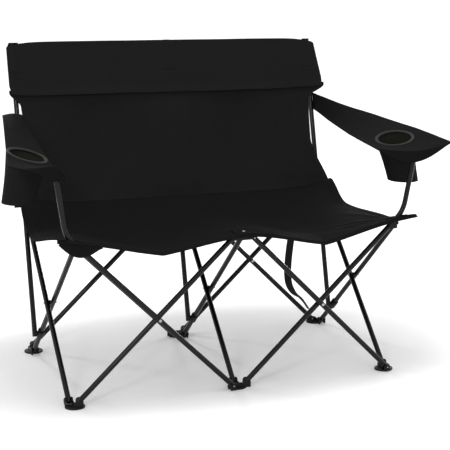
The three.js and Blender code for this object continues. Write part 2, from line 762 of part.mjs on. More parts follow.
addPiece('head_band', backCloth, geometryOf(band), backCentre, backTurn);

// An armrest: cloth from the upright to the arm post, with its front hem turned down over the post
const uprightStandOff = tubeRadius + backClearance + armThickness / 2;
const uprightMiddle = (height) => uprightPivot + (height - topPivotHeight) * Math.tan(uprightLean);
const uprightFace = (height) => uprightMiddle(height) - (tubeRadius + backClearance) / Math.cos(uprightLean);
const armShapes = {
  right: {
    side: 1,
    innerReach: rightInnerReach,
    outerReach: rightOuterReach,
    innerHeight: postTopHeight + rightInnerRise,
    outerHeight: postTopHeight + rightOuterRise,
    innerSetback: rightInnerSetback,
    outerSetback: rightOuterSetback,
    noseReach: rightNoseReach,
    hemDrop: rightHemDrop,
    hemPeakShare: rightHemPeakShare,
    hemPower: rightHemPower,
    tentRise: 0,
    outerWave: rightOuterWave,
    cupSetback: rightCupSetback,
    cupShare: rightCupShare,
    pouchLean: rightPouchLean,
    rear: (share) => {
      const height = rightRearLow + share * (rightRearHigh - rightRearLow);
      return new THREE.Vector3(bayWidth - planeOffset + uprightStandOff, uprightMiddle(height), height);
    },
  },
  left: {
    side: -1,
    innerReach: leftInnerReach,
    outerReach: leftOuterReach,
    innerHeight: postTopHeight - leftInnerDrop,
    outerHeight: postTopHeight + leftOuterRise,
    innerSetback: leftInnerSetback,
    outerSetback: leftOuterSetback,
    noseReach: leftNoseReach,
    hemDrop: leftHemDrop,
    hemPeakShare: leftHemPeakShare,
    hemPower: leftHemPower,
    tentRise: leftTentRise,
    outerWave: leftOuterWave,
    cupSetback: leftCupSetback,
    cupShare: leftCupShare,
    pouchLean: leftPouchLean,
    rear: (share) => {
      const height = leftRearHeight + leftRearRise * Math.sin(Math.PI * share);
      const across = leftRearInner - share * (leftRearInner + leftRearOuter);
      return new THREE.Vector3(across - bayWidth - planeOffset, uprightFace(height), height);
    },
  },
};
function armSurface(shape, u, v) {
  const { side, innerReach, outerReach, innerHeight, outerHeight } = shape;
  const share = side > 0 ? u : 1 - u;
  const arch = Math.sin(Math.PI * share);
  const postShare = innerReach / (innerReach + outerReach);
  const hem = shape.hemDrop * peak(share, shape.hemPeakShare, shape.hemPower) * smooth(1 - v / armHemShare);
  const tent = shape.tentRise * peak(share, postShare, 1) * smooth(1 - v / armTentShare);
  const droop = armFrontDroop * arch * smooth(1 - v / armDroopShare);
  const setback = shape.innerSetback + (shape.outerSetback - shape.innerSetback) * share;
  const front = new THREE.Vector3(
    postTop(side).x + side * (share * (innerReach + outerReach) - innerReach),
    setback - shape.noseReach * arch,
    innerHeight + share * (outerHeight - innerHeight),
  );
  const point = new THREE.Vector3().lerpVectors(front, shape.rear(share), v);
  point.z += tent - droop - hem - armSag * Math.sin(Math.PI * v) * (1 - share);
  point.z += shape.outerWave * Math.sin(2 * Math.PI * v) * share;
  return point;
}
const armRow = (v) => {
  const t = clamp((v * armRows - 1) / (armRows - 1));
  const along = t * t * (1 - armRowShare) + t * armRowShare;
  return v > 0 ? armHemShare + (1 - armHemShare) * along : 0;
};
for (const [word, shape] of Object.entries(armShapes)) {
  const { side } = shape;
  const surface = (u, v) => armSurface(shape, u, armRow(v));
  const level = new THREE.Vector3(0, 0, armThickness / 2);
  const onEdge = side > 0 ? new THREE.Vector3(-armThickness / 2, 0, 0) : level;
  const forward = new THREE.Vector3(0, -armThickness / 2, 0);
  const turned = (v) => new THREE.Vector3().lerpVectors(level, onEdge, smooth(armRow(v)));
  const offset = (u, v) => (v > 0 ? turned(v) : forward);

  // The cup's place on the cloth, and the plane of its rim
  const cupU = side > 0 ? shape.cupShare : 1 - shape.cupShare;
  const rearEdge = armSurface(shape, cupU, 1).y;
  const frontEdge = armSurface(shape, cupU, 0).y;
  const cupV = (shape.cupSetback - frontEdge) / (rearEdge - frontEdge);
  const cup = armSurface(shape, cupU, cupV);
  const nextU = armSurface(shape, cupU + cupStepShare, cupV).sub(cup);
  const nextV = armSurface(shape, cupU, cupV + cupStepShare).sub(cup);
  const normal = nextU.clone().cross(nextV).normalize();
  const acrossCup = nextU.clone().normalize();
  const alongCup = normal.clone().cross(acrossCup);
  const rimOuter = rimRingRadius + rimTubeRadius;
  const rimHalf = rimTubeRadius * rimSquashShare;
  const above = cup.clone().addScaledVector(normal, pouchDepth / 2);
  const below = cup.clone().addScaledVector(normal, -pouchDepth / 2);
  const hole = bar(below, above, rimOuter + seatingGap, cupSides * 2);
  const sleeve = solidOf(sheet(armColumns, armRows, surface, offset)).subtract(hole);
  addPiece(`${word}_arm_sleeve`, backCloth, geometryOf(sleeve));

  const rim = new THREE.TorusGeometry(rimRingRadius, rimTubeRadius, 6, cupSides);
  rim.scale(1, 1, rimSquashShare);
  const rimTurn = new THREE.Euler().setFromRotationMatrix(
    new THREE.Matrix4().makeBasis(acrossCup, alongCup, normal),
  );
  addPiece(`${word}_cup_rim`, rimBinding, rim, cup, rimTurn);

  // The pouch hangs straight down from the tilted rim and tapers to a flat floor
  const ringOf = (centre, radius, axisA, axisB) => {
    const ring = [];
    for (let i = 0; i < cupSides; i += 1) {
      const around = (2 * Math.PI * i) / cupSides;
      ring.push(centre.clone().addScaledVector(axisA, radius * Math.cos(around))
        .addScaledVector(axisB, radius * Math.sin(around)));
    }
    return ring;
  };
  const mouth = cup.clone().addScaledVector(normal, -rimHalf - seatingGap);
  const floorAcross = new THREE.Vector3(1, 0, 0);
  const floorBack = new THREE.Vector3(0, 1, 0);
  const floorCentre = cup.clone().add(new THREE.Vector3(side * shape.pouchLean, 0, -pouchDepth));
  const innerFloor = floorCentre.clone().add(new THREE.Vector3(0, 0, pouchWall));
  const innerMouth = mouth.clone().addScaledVector(normal, cutOverrun);
  const outer = solidOf(skin([
    ringOf(floorCentre, pouchFootRadius, floorAcross, floorBack),
    ringOf(mouth, pouchTopRadius, acrossCup, alongCup),
  ]));
  const inner = solidOf(skin([
    ringOf(innerFloor, pouchFootRadius - pouchWall, floorAcross, floorBack),
    ringOf(innerMouth, pouchTopRadius - pouchWall, acrossCup, alongCup),
  ]));
  addPiece(`${word}_cup_pouch`, backCloth, geometryOf(outer.subtract(inner)));
}

// The carrying strap that hangs from under the seat and turns in behind the rear right foot
const strapRouteShares = [
  [0.8, 1.029, 0], [0.79, 0.8, -0.1], [0.765, 0.6, -0.2], [0.755, 0.42, -0.3], [0.77, 0.32, -0.45],
  [0.81, 0.25, -0.7], [0.865, 0.21, -0.9], [0.9, 0.16, -1], [0.925, 0.12, -1],
];
const strapRings = strapRouteShares.map(([acrossShare, heightShare, turnShare], i) => {
  const next = strapRouteShares[Math.min(i + 1, strapRouteShares.length - 1)];
  const last = strapRouteShares[Math.max(i - 1, 0)];
  const run = new THREE.Vector3((next[0] - last[0]) * bayWidth, 0, (next[1] - last[1]) * topPivotHeight).normalize();
  const flatTurn = (turnShare * Math.PI) / 2;
  const sideways = new THREE.Vector3(-run.z, 0, run.x);
  const width = new THREE.Vector3().addScaledVector(sideways, Math.cos(flatTurn));
  width.y = Math.sin(flatTurn);
  const face = new THREE.Vector3().crossVectors(run, width).normalize();
  const centre = new THREE.Vector3(acrossShare * bayWidth, strapSetback, heightShare * topPivotHeight);
  return [[-1, -1], [1, -1], [1, 1], [-1, 1]].map(([a, b]) => centre.clone()
    .addScaledVector(width, (a * strapWidth) / 2).addScaledVector(face, (b * strapThickness) / 2));
});
addPiece('strap', webbing, skin(strapRings));

// The floor area's centre becomes the origin
const bounds = new THREE.Box3().setFromObject(parts);
const middle = bounds.getCenter(new THREE.Vector3());
parts.position.set(-middle.x, -middle.y, -bounds.min.z);

export default loveseat;
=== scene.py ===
# Folding camping loveseat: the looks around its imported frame.
# Metres, Z up, X to the viewer's right, Y to the rear, the floor at Z = 0.
import json
import math
import bmesh
import bpy
import numpy as np
from mathutils import Matrix, Vector

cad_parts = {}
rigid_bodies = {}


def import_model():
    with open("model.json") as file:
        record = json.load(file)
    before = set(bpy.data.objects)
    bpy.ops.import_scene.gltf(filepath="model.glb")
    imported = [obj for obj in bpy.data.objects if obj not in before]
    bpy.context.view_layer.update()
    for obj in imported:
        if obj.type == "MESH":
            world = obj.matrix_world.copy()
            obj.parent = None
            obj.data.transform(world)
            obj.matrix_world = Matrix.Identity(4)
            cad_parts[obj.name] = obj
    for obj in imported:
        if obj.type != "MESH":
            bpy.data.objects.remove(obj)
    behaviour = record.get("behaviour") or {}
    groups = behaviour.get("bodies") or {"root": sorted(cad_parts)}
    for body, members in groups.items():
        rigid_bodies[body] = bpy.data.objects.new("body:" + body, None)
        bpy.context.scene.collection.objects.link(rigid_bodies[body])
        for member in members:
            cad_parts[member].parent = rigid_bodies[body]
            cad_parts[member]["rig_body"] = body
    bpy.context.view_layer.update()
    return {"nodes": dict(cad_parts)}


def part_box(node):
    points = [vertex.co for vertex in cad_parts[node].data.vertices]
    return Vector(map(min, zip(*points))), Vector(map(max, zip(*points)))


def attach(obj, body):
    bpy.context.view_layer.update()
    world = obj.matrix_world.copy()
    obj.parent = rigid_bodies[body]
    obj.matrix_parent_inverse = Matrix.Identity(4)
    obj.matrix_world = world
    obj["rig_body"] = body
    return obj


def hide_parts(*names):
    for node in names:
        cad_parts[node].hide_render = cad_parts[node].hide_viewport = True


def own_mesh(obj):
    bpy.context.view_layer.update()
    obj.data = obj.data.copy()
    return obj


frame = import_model()
nodes = frame["nodes"]
print("frame loaded,", len(nodes), "nodes")

# Camera, at the photograph's angle
view = dict(
    place=(-1.5002, -3.7520, 1.3977),
    target=(0.0483, -0.0693, 0.4486),
    roll=1.374,
    lens=103.8,
    sensor=36,
)


def makeCamera():
    data = bpy.data.cameras.new("camera")
    data.sensor_width = view["sensor"]
    data.lens = view["lens"]
    camera = bpy.data.objects.new("camera", data)
    bpy.context.scene.collection.objects.link(camera)
    back = (Vector(view["place"]) - Vector(view["target"])).normalized()
    level = Vector((-back.y, back.x, 0)).normalized()
    up = back.cross(level)
    turn = math.radians(view["roll"])
    across = level * math.cos(turn) + up * math.sin(turn)
    upward = up * math.cos(turn) - level * math.sin(turn)
    camera.matrix_world = Matrix.LocRotScale(
        Vector(view["place"]), Matrix((across, upward, back)).transposed(), None
    )
    bpy.context.scene.camera = camera


makeCamera()
bpy.context.scene.view_settings.view_transform = "Standard"
print("camera placed")


# Shader sums: an expression on wires adds the nodes that it needs
def plug(tree, socket, value):
    if isinstance(value, Wire):
        tree.links.new(value.socket, socket)
    else:
        socket.default_value = value


# Every node comes from here: its type, its settings, then the values or links of its sockets
def addNode(tree, kind, settings=None, values=None, output=0):
    node = tree.nodes.new(kind)
    for key, value in (settings or {}).items():
        setattr(node, key, value)
    for key, value in (values or {}).items():
        plug(tree, node.inputs[key], value)
    return Wire(tree, node.outputs[output])


def maths(tree, operation, *values):
    return addNode(tree, "ShaderNodeMath", {"operation": operation}, dict(enumerate(values)))


class Wire:
    def __init__(self, tree, socket):
        self.tree = tree
        self.socket = socket

    def __add__(self, other):
        return maths(self.tree, "ADD", self, other)

    def __radd__(self, other):
        return maths(self.tree, "ADD", other, self)

    def __sub__(self, other):
        return maths(self.tree, "SUBTRACT", self, other)

    def __rsub__(self, other):
        return maths(self.tree, "SUBTRACT", other, self)

    def __mul__(self, other):
        return maths(self.tree, "MULTIPLY", self, other)

    def __rmul__(self, other):
        return maths(self.tree, "MULTIPLY", other, self)

    def __pow__(self, other):
        return maths(self.tree, "POWER", self, other)

    def __gt__(self, other):
        return maths(self.tree, "GREATER_THAN", self, other)

    def call(self, operation, *others):
        return maths(self.tree, operation, self, *others)

    # Humps of a sine wave along this wire, each one pitch long
    def humps(self, pitch):
        return (self * (math.pi / pitch)).call("SINE").call("ABSOLUTE")

    # The three numbers of a vector
    def parts(self):
        first = addNode(self.tree, "ShaderNodeSeparateXYZ", {}, {0: self})
        return [Wire(self.tree, socket) for socket in first.socket.node.outputs]


class Finish:
    def __init__(self, name, **sockets):
        self.material = bpy.data.materials.new(name)
        self.material.use_nodes = True
        self.tree = self.material.node_tree
        self.surface = self.tree.nodes["Principled BSDF"]
        for key, value in sockets.items():
            self.feed(key.replace("_", " "), value)

    def add(self, kind, settings=None, values=None, output=0):
        return addNode(self.tree, kind, settings, values, output)

    def feed(self, socket, value):
        plug(self.tree, self.surface.inputs[socket], value)

    def blendColours(self, share, first, second):
        return self.add("ShaderNodeMix", {"data_type": "RGBA"}, {0: share, 6: first, 7: second}, output=2)

    def objectPlace(self):
        return self.add("ShaderNodeTexCoord", output=3)

    # A cloth's own map, which is in metres: across it and along it
    def clothPlace(self):
        place = self.add("ShaderNodeUVMap", {"uv_map": "cloth"})
        return place, *place.parts()[:2]

    def noise(self, place, scale, detail=3.0, roughness=0.5):
        values = {"Vector": place, "Scale": scale, "Detail": detail, "Roughness": roughness}
        return self.add("ShaderNodeTexNoise", {}, values)

    def bump(self, height, distance, strength, under=None):
        values = {"Height": height, "Distance": distance, "Strength": strength}
        if under is not None:
            values["Normal"] = under
        return self.add("ShaderNodeBump", {}, values)


# Finishes. A noise is given as its scale, detail and roughness, and a bump as its depth in metres and strength
steelLook = dict(
    shade=(0.0028, 0.0029, 0.0032, 1), worn=(0.009, 0.0093, 0.0100, 1), specular=0.08, coat=0.30, coatRoughness=0.12,
    peel=(620.0, 2.0), patches=(9.0, 4.0, 0.6), scuffs=(85.0, 6.0, 0.72), scuffFrom=0.62, scuffGain=2.6,
    roughness=0.23, patchRoughness=0.10, wornRoughness=0.5, peelBump=(0.00012, 0.35),
)


def steelFinish():
    look = steelLook
    finish = Finish(
        "powder coated steel", Specular_IOR_Level=look["specular"],
        Coat_Weight=look["coat"], Coat_Roughness=look["coatRoughness"],
    )
    place = finish.objectPlace()
    peel = finish.noise(place, *look["peel"])
    patches = finish.noise(place, *look["patches"])
    scuffs = finish.noise(place, *look["scuffs"])
    worn = (scuffs - look["scuffFrom"]).call("MAXIMUM", 0.0) * look["scuffGain"] * patches
    finish.feed("Base Color", finish.blendColours(worn, look["shade"], look["worn"]))
    finish.feed("Roughness", patches * look["patchRoughness"] + worn * look["wornRoughness"] + look["roughness"])
    finish.feed("Normal", finish.bump(peel, *look["peelBump"]))
    return finish.material


brightLook = dict(
    clean=(0.52, 0.53, 0.54, 1), dull=(0.36, 0.36, 0.37, 1), grain=(900.0, 3.0, 0.7), patches=(120.0, 3.0),
    roughness=0.20, grainRoughness=0.18, grainBump=(0.00005, 0.4),
)


def brightFinish():
    look = brightLook
    finish = Finish("bright rivet steel", Metallic=1.0)
    place = finish.objectPlace()
    grain = finish.noise(place, *look["grain"])
    patches = finish.noise(place, *look["patches"])
    finish.feed("Base Color", finish.blendColours(patches, look["clean"], look["dull"]))
    finish.feed("Roughness", grain * look["grainRoughness"] + look["roughness"])
    finish.feed("Normal", finish.bump(grain, *look["grainBump"]))
    return finish.material


# The plastic is dusty below dustTop, near the floor
plasticLook = dict(
    dark=(0.0060, 0.0061, 0.0064, 1), light=(0.0105, 0.0106, 0.0110, 1), dusty=(0.045, 0.042, 0.037, 1),
    specular=0.16, grain=(1500.0, 2.0), flow=(38.0, 4.0, 0.6), dust=(210.0, 5.0, 0.7), dustTop=0.020,
    dustGain=34.0, dustFrom=0.35, roughness=0.38, flowRoughness=0.16, grainBump=(0.00010, 0.5),
)


def plasticFinish():
    look = plasticLook
    finish = Finish("moulded plastic", Specular_IOR_Level=look["specular"])
    place = finish.objectPlace()
    grain = finish.noise(place, *look["grain"])
    flow = finish.noise(place, *look["flow"])
    dust = finish.noise(place, *look["dust"])
    height = place.parts()[2]
    low = (look["dustTop"] - height).call("MAXIMUM", 0.0) * look["dustGain"]
    dusty = (low * (dust - look["dustFrom"])).call("MAXIMUM", 0.0)
    shade = finish.blendColours(flow, look["dark"], look["light"])
    finish.feed("Base Color", finish.blendColours(dusty, shade, look["dusty"]))
    finish.feed("Roughness", flow * look["flowRoughness"] + look["roughness"])
    finish.feed("Normal", finish.bump(grain, *look["grainBump"]))
    return finish.material


# A colour's darker and lighter forms, each as a share of it
def shades(colour, dark, light):
    return tuple((*(channel * share for channel in colour), 1) for share in (dark, light))


# A plain weave on the cloth's own map: one thread over, one under. The slubs are noise drawn out along the cloth
weaveLook = dict(
    pitch=0.00085, specular=0.025, dark=0.55, light=1.45, crossing=0.4, contrast=0.30,
    middle=0.6, slubScale=(900.0, 25.0, 1.0), slubDetail=2.0, slubTone=0.35, cloud=(6.5, 5.0, 0.62), cloudTone=0.30,
    fibre=(2600.0, 2.0), gloss=0.72, cloudGloss=0.12, threadGloss=0.10,
    fibreBump=(0.00006, 0.35), weaveBump=(0.00022, 0.75),
)


def weaveFinish(name, shade):
    look = weaveLook
    finish = Finish(name, Specular_IOR_Level=look["specular"])
    place, across, along = finish.clothPlace()
    turnA, turnB = across * (math.pi / look["pitch"]), along * (math.pi / look["pitch"])
    sineA, sineB = turnA.call("SINE"), turnB.call("SINE")
    threadA, threadB = sineA.call("ABSOLUTE"), sineB.call("ABSOLUTE")
    over = (sineA * sineB) > 0.0
    warp = threadA ** 0.5 * (threadB * look["crossing"] + (1 - look["crossing"]))
    weft = threadB ** 0.5 * (threadA * look["crossing"] + (1 - look["crossing"]))
    height = warp * over + weft * (1 - over)
    drawn = finish.add("ShaderNodeMapping", {}, {"Vector": place, "Scale": look["slubScale"]})
    slub = finish.noise(drawn, 1.0, look["slubDetail"])
    cloudy = finish.noise(place, *look["cloud"])
    fibre = finish.noise(place, *look["fibre"])
    tone = height * look["contrast"] + (slub - 0.5) * look["slubTone"] + (cloudy - 0.5) * look["cloudTone"]
    tone = tone + (1 - look["contrast"] * look["middle"])
    finish.feed("Base Color", finish.blendColours(tone - 0.5, *shades(shade, look["dark"], look["light"])))
    finish.feed("Roughness", cloudy * look["cloudGloss"] + (look["gloss"] - height * look["threadGloss"]))
    fuzz = finish.bump(fibre, *look["fibreBump"])
    finish.feed("Normal", finish.bump(height, *look["weaveBump"], under=fuzz))
    return finish.material


# Narrow woven tape: ribs across its length, which zigzag over its width
tapeLook = dict(
    sheen=0.03, sheenRoughness=0.4, specular=0.12, zigs=10, zigReach=0.5, fibre=(1900.0, 3.0),
    ribTone=0.55, fibreTone=0.45, dark=0.6, light=1.5, roughness=0.74, ribGloss=0.16,
    ribBump=(0.00035, 0.8), fibreBump=(0.00008, 0.4),
)


def tapeFinish(name, shade, width, rib):
    look = tapeLook
    finish = Finish(
        name, Sheen_Weight=look["sheen"], Sheen_Roughness=look["sheenRoughness"], Specular_IOR_Level=look["specular"],
    )
    place, across, along = finish.clothPlace()
    zig = across.humps(width / look["zigs"])
    ribs = (along + zig * (rib * look["zigReach"])).humps(rib)
    fibre = finish.noise(place, *look["fibre"])
    tone = ribs * look["ribTone"] + fibre * look["fibreTone"]
    finish.feed("Base Color", finish.blendColours(tone, *shades(shade, look["dark"], look["light"])))
    finish.feed("Roughness", look["roughness"] - ribs * look["ribGloss"])
    fuzz = finish.bump(fibre, *look["fibreBump"])
    finish.feed("Normal", finish.bump(ribs, *look["ribBump"], under=fuzz))
    return finish.material


# Open net inside the cup pouches: small dark holes between olive threads
netLook = dict(
    pitch=0.0021, sheen=0.02, specular=0.08, meet=(0.1, 0.2), holeGain=1.6, holeFrom=0.35, cloud=(22.0, 4.0),
    thread=(0.030, 0.031, 0.021, 1), pale=(0.046, 0.046, 0.031, 1), hole=(0.006, 0.006, 0.005, 1),
    roughness=0.68, holeRoughness=0.2, threadBump=(0.0003, 0.8),
)


def netFinish():
    look = netLook
    finish = Finish("olive net lining", Sheen_Weight=look["sheen"], Specular_IOR_Level=look["specular"])
    place, across, along = finish.clothPlace()
    gaps = (across.humps(look["pitch"]) * along.humps(look["pitch"])).call("SMOOTH_MAX", *look["meet"])
    hole = (gaps * look["holeGain"] - look["holeFrom"]).call("MAXIMUM", 0.0).call("MINIMUM", 1.0)
    cloudy = finish.noise(place, *look["cloud"])
    thread = finish.blendColours(cloudy, look["thread"], look["pale"])
    finish.feed("Base Color", finish.blendColours(hole, thread, look["hole"]))
    finish.feed("Roughness", hole * look["holeRoughness"] + look["roughness"])
    finish.feed("Normal", finish.bump(1 - hole, *look["threadBump"]))
    return finish.material


threadLook = dict(
    dark=(0.009, 0.009, 0.0095, 1), light=(0.020, 0.020, 0.021, 1), specular=0.15, sheen=0.02, twist=(3200.0, 2.0),
    roughness=0.45, twistRoughness=0.2, twistBump=(0.00008, 0.5),
)


def threadFinish():
    look = threadLook
    finish = Finish("sewing thread", Specular_IOR_Level=look["specular"], Sheen_Weight=look["sheen"])
    twist = finish.noise(finish.objectPlace(), *look["twist"])
    finish.feed("Base Color", finish.blendColours(twist, look["dark"], look["light"]))
    finish.feed("Roughness", twist * look["twistRoughness"] + look["roughness"])
    finish.feed("Normal", finish.bump(twist, *look["twistBump"]))
    return finish.material


finishes = dict(
    steel=steelFinish(),
    bright=brightFinish(),
    plastic=plasticFinish(),
    # The seat weave and the back weave are one cloth. The seat weave's darker shade is painted shade: the seat and
    # armrests face up and take more light than the back
    seatCloth=weaveFinish("seat weave with painted shade", (0.0082, 0.0082, 0.0084)),
    backCloth=weaveFinish("back weave", (0.0128, 0.0128, 0.0130)),
    lining=netFinish(),
    binding=tapeFinish("ring binding", (0.026, 0.027, 0.026), width=0.022, rib=0.0016),
    webbing=tapeFinish("webbing", (0.0135, 0.0137, 0.0145), width=0.025, rib=0.0019),
    thread=threadFinish(),
)
print("finishes made:", len(finishes))


# Up to these angles in degrees, a piece's faces are shaded as one
smoothAngles = dict(cloth=55, turned=40, tube=35)


# Mesh helpers
def addObject(name, mesh):
    piece = bpy.data.objects.new(name, mesh)
    bpy.context.scene.collection.objects.link(piece)
    return piece


def meshPiece(name, points, faces, materials, faceMaterials=None, uv=None, smoothAngle=None):
    mesh = bpy.data.meshes.new(name)
    mesh.from_pydata([tuple(p) for p in points], [], [tuple(f) for f in faces])
    for material in materials:
        mesh.materials.append(material)
    if faceMaterials is not None:
        mesh.polygons.foreach_set("material_index", faceMaterials)
    mesh.polygons.foreach_set("use_smooth", [True] * len(mesh.polygons))
    if uv is not None:
        layer = mesh.uv_layers.new(name="cloth")
        corners = np.empty(len(mesh.loops), int)
        mesh.loops.foreach_get("vertex_index", corners)
        layer.data.foreach_set("uv", np.asarray(uv, float)[corners].ravel())
    mesh.update()
    if smoothAngle is not None:
        mesh.set_sharp_from_angle(angle=math.radians(smoothAngle))
    return addObject(name, mesh)


# The mesh that a piece's modifiers make takes the place of its own
def settle(piece, smoothAngle=None):
    depsgraph = bpy.context.evaluated_depsgraph_get()
    mesh = bpy.data.meshes.new_from_object(piece.evaluated_get(depsgraph))
    piece.modifiers.clear()
    piece.data = mesh
    mesh.polygons.foreach_set("use_smooth", [True] * len(mesh.polygons))
    if smoothAngle is not None:
        mesh.set_sharp_from_angle(angle=math.radians(smoothAngle))
    return piece


# The corners of each face between neighbouring rings: two on this ring, and the two next to them on the one after
def ringCorners(sides, rings, closed=False):
    corners = []
    for j in range(rings if closed else rings - 1):
        low, high = j * sides, (j + 1) % rings * sides
        for i in range(sides):
            after = (i + 1) % sides
            corners.append((low + i, low + after, high + i, high + after))
    return corners


def unit(vectors):
    return vectors / np.maximum(np.linalg.norm(vectors, axis=-1, keepdims=True), 1e-12)


def slope(grid, axis, wraps):
    if not wraps:
        return np.gradient(grid, axis=axis)
    return (np.roll(grid, -1, axis=axis) - np.roll(grid, 1, axis=axis)) / 2


def gridNormals(grid, wraps=False):
    return unit(np.cross(slope(grid, 1, wraps), slope(grid, 0, False)))


def lengths(grid, axis):
    steps = np.linalg.norm(np.diff(grid, axis=axis), axis=2).mean(axis=1 - axis)
    return np.concatenate([[0], np.cumsum(steps)])


# A closed sheet of cloth around a grid of middle points: rows along, columns across
def clothShell(name, grid, thickness, outer, inner=None, wraps=False):
    rows, columns = grid.shape[:2]
    half = np.broadcast_to(np.asarray(thickness, float), (rows, columns))[..., None] / 2
    normals = gridNormals(grid, wraps)
    points = np.concatenate([(grid + normals * half).reshape(-1, 3), (grid - normals * half).reshape(-1, 3)])
    mapAcross, mapAlong = np.meshgrid(lengths(grid, 1), lengths(grid, 0))
    uv = np.tile(np.stack([mapAcross, mapAlong], axis=-1).reshape(-1, 2), (2, 1))
    layer = rows * columns
    faces, kinds = [], []
    spans = columns if wraps else columns - 1
    for j in range(rows - 1):
        for i in range(spans):
            a, b = j * columns + i, j * columns + (i + 1) % columns
            faces.append((a, b, b + columns, a + columns))
            faces.append((a + layer, a + columns + layer, b + columns + layer, b + layer))
            kinds += [0, 1]
    for i in range(spans):
        a, b = i, (i + 1) % columns
        c = (rows - 1) * columns
        faces.append((b, a, a + layer, b + layer))
        faces.append((c + a, c + b, c + b + layer, c + a + layer))
        kinds += [0, 0]
    if not wraps:
        for j in range(rows - 1):
            a, b = j * columns, j * columns + columns - 1
            faces.append((a, a + columns, a + columns + layer, a + layer))
            faces.append((b + columns, b, b + layer, b + columns + layer))
            kinds += [0, 0]
    materials = [outer, inner or outer]
    return meshPiece(name, points, faces, materials, kinds, uv, smoothAngles["cloth"])


# Shares from 0 to 1 for rows or columns, which crowd near both ends, where the hems are
def crowded(count, edge, edgeCount):
    ends = np.linspace(0, edge, edgeCount, endpoint=False)
    return np.concatenate([ends, np.linspace(edge, 1 - edge, count), 1 - ends[::-1]])


# Slow waves from a seed, which keep cloth from lying dead flat
def waves(x, y, seed, shortest, longest, height, count=9):
    random = np.random.default_rng(seed)
    total = np.zeros_like(x)
    for length in np.geomspace(shortest, longest, count):
        turn, start = random.uniform(0, 2 * math.pi, 2)
        phase = (x * math.cos(turn) + y * math.sin(turn)) * 2 * math.pi / length + start
        total += np.sin(phase) * length / longest
    return total * height / math.sqrt(count)


creaseForm = dict(startWidth=0.45, spread=0.9, fadePower=0.7)


# A soft crease from one point to another on a surface's own map, which widens on its way
def crease(x, y, x0, y0, x1, y1, width, height):
    form = creaseForm
    reach = math.hypot(x1 - x0, y1 - y0)
    ux, uy = (x1 - x0) / reach, (y1 - y0) / reach
    along = ((x - x0) * ux + (y - y0) * uy) / reach
    spread = form["startWidth"] + form["spread"] * np.clip(along, 0, 1)
    off = ((x - x0) * -uy + (y - y0) * ux) / (width * spread)
    fade = np.clip(along, 0, 1) * np.clip(1 - along, 0, 1) * 4
    return height * fade ** form["fadePower"] * np.exp(-off * off)


def smooth(t):
    t = np.clip(t, 0, 1)
    return t * t * (3 - 2 * t)


def bodyOf(node):
    return nodes[node]["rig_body"]


def ride(piece, body, slot, *replaced):
    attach(piece, body)
    if replaced:
        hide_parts(*replaced)
    return piece


# The body that each sheet of cloth rides on as the frame folds
folds = dict(
    seat=dict(body="seat", axis=(1, 0, 0), anchor=(0, 0, 0), keep=0.29),
    back=dict(body="centre_upright", axis=(1, 0, 0), anchor=(-0.010, 0, 0), keep=0.29),
    left=dict(body="left_arm", axis=(0, 1, 0), anchor=(-0.530, 0.2865, 0.78), keep=0.39),
    right=dict(body="right_arm", axis=(0, 1, 0), anchor=(0.510, 0.2865, 0.78), keep=0.36),
)


def gather(piece, way, slot, *replaced):
    fold = folds[way]
    ride(piece, fold["body"], slot, *replaced)
    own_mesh(piece)


# Stitches and rivets: one small shape repeated by Geometry Nodes
def startTree(name, sizes):
    tree = bpy.data.node_groups.new(name, "GeometryNodeTree")
    tree.interface.new_socket("Geometry", in_out="INPUT", socket_type="NodeSocketGeometry")
    for label, kind in sizes.items():
        tree.interface.new_socket(label, in_out="INPUT", socket_type=f"NodeSocket{kind}")
    tree.interface.new_socket("Geometry", in_out="OUTPUT", socket_type="NodeSocketGeometry")
    start = tree.nodes.new("NodeGroupInput")
    return tree, {socket.name: Wire(tree, socket) for socket in start.outputs}


def endTree(tree, instances, finish):
    real = addNode(tree, "GeometryNodeRealizeInstances", {}, {0: instances})
    coloured = addNode(tree, "GeometryNodeSetMaterial", {}, {"Geometry": real, "Material": finish})
    plug(tree, tree.nodes.new("NodeGroupOutput").inputs[0], coloured)
    return tree


stitch = dict(pitch=0.0042, length=0.0034, thickness=0.0009, segments=6, rings=4)


# Stitches lie end to end along each line, a gap apart
def stitchTree():
    tree, given = startTree("stitches", dict(Pitch="Float", Length="Float", Thickness="Float", Thread="Material"))
    line = addNode(tree, "GeometryNodeMeshToCurve", {}, {"Mesh": given["Geometry"]})
    spaced = addNode(tree, "GeometryNodeResampleCurve", {"mode": "LENGTH"}, {"Curve": line, "Length": given["Pitch"]})
    ball = {"Segments": stitch["segments"], "Rings": stitch["rings"], "Radius": 0.5}
    bead = addNode(tree, "GeometryNodeMeshUVSphere", {}, ball)
    thickness = given["Thickness"]
    size = addNode(tree, "ShaderNodeCombineXYZ", {}, {0: thickness, 1: thickness, 2: given["Length"]})
    along = addNode(tree, "GeometryNodeInputTangent")
    turn = addNode(tree, "FunctionNodeAlignRotationToVector", {"axis": "Z"}, {"Vector": along})
    stitches = {"Points": spaced, "Instance": bead, "Rotation": turn, "Scale": size}
    return endTree(tree, addNode(tree, "GeometryNodeInstanceOnPoints", {}, stitches), given["Thread"])


# A rivet head stands on each point and faces the way that the point's own vector gives
def rivetTree():
    tree, given = startTree("rivets", dict(Head="Object", Finish="Material"))
    head = addNode(tree, "GeometryNodeObjectInfo", {}, {"Object": given["Head"]}, output="Geometry")
    facing = addNode(tree, "GeometryNodeInputNamedAttribute", {"data_type": "FLOAT_VECTOR"}, {"Name": "facing"})
    turn = addNode(tree, "FunctionNodeAlignRotationToVector", {"axis": "Z"}, {"Vector": facing})
    rivets = {"Points": given["Geometry"], "Instance": head, "Rotation": turn}
    return endTree(tree, addNode(tree, "GeometryNodeInstanceOnPoints", {}, rivets), given["Finish"])


trees = dict(stitches=stitchTree(), rivets=rivetTree())


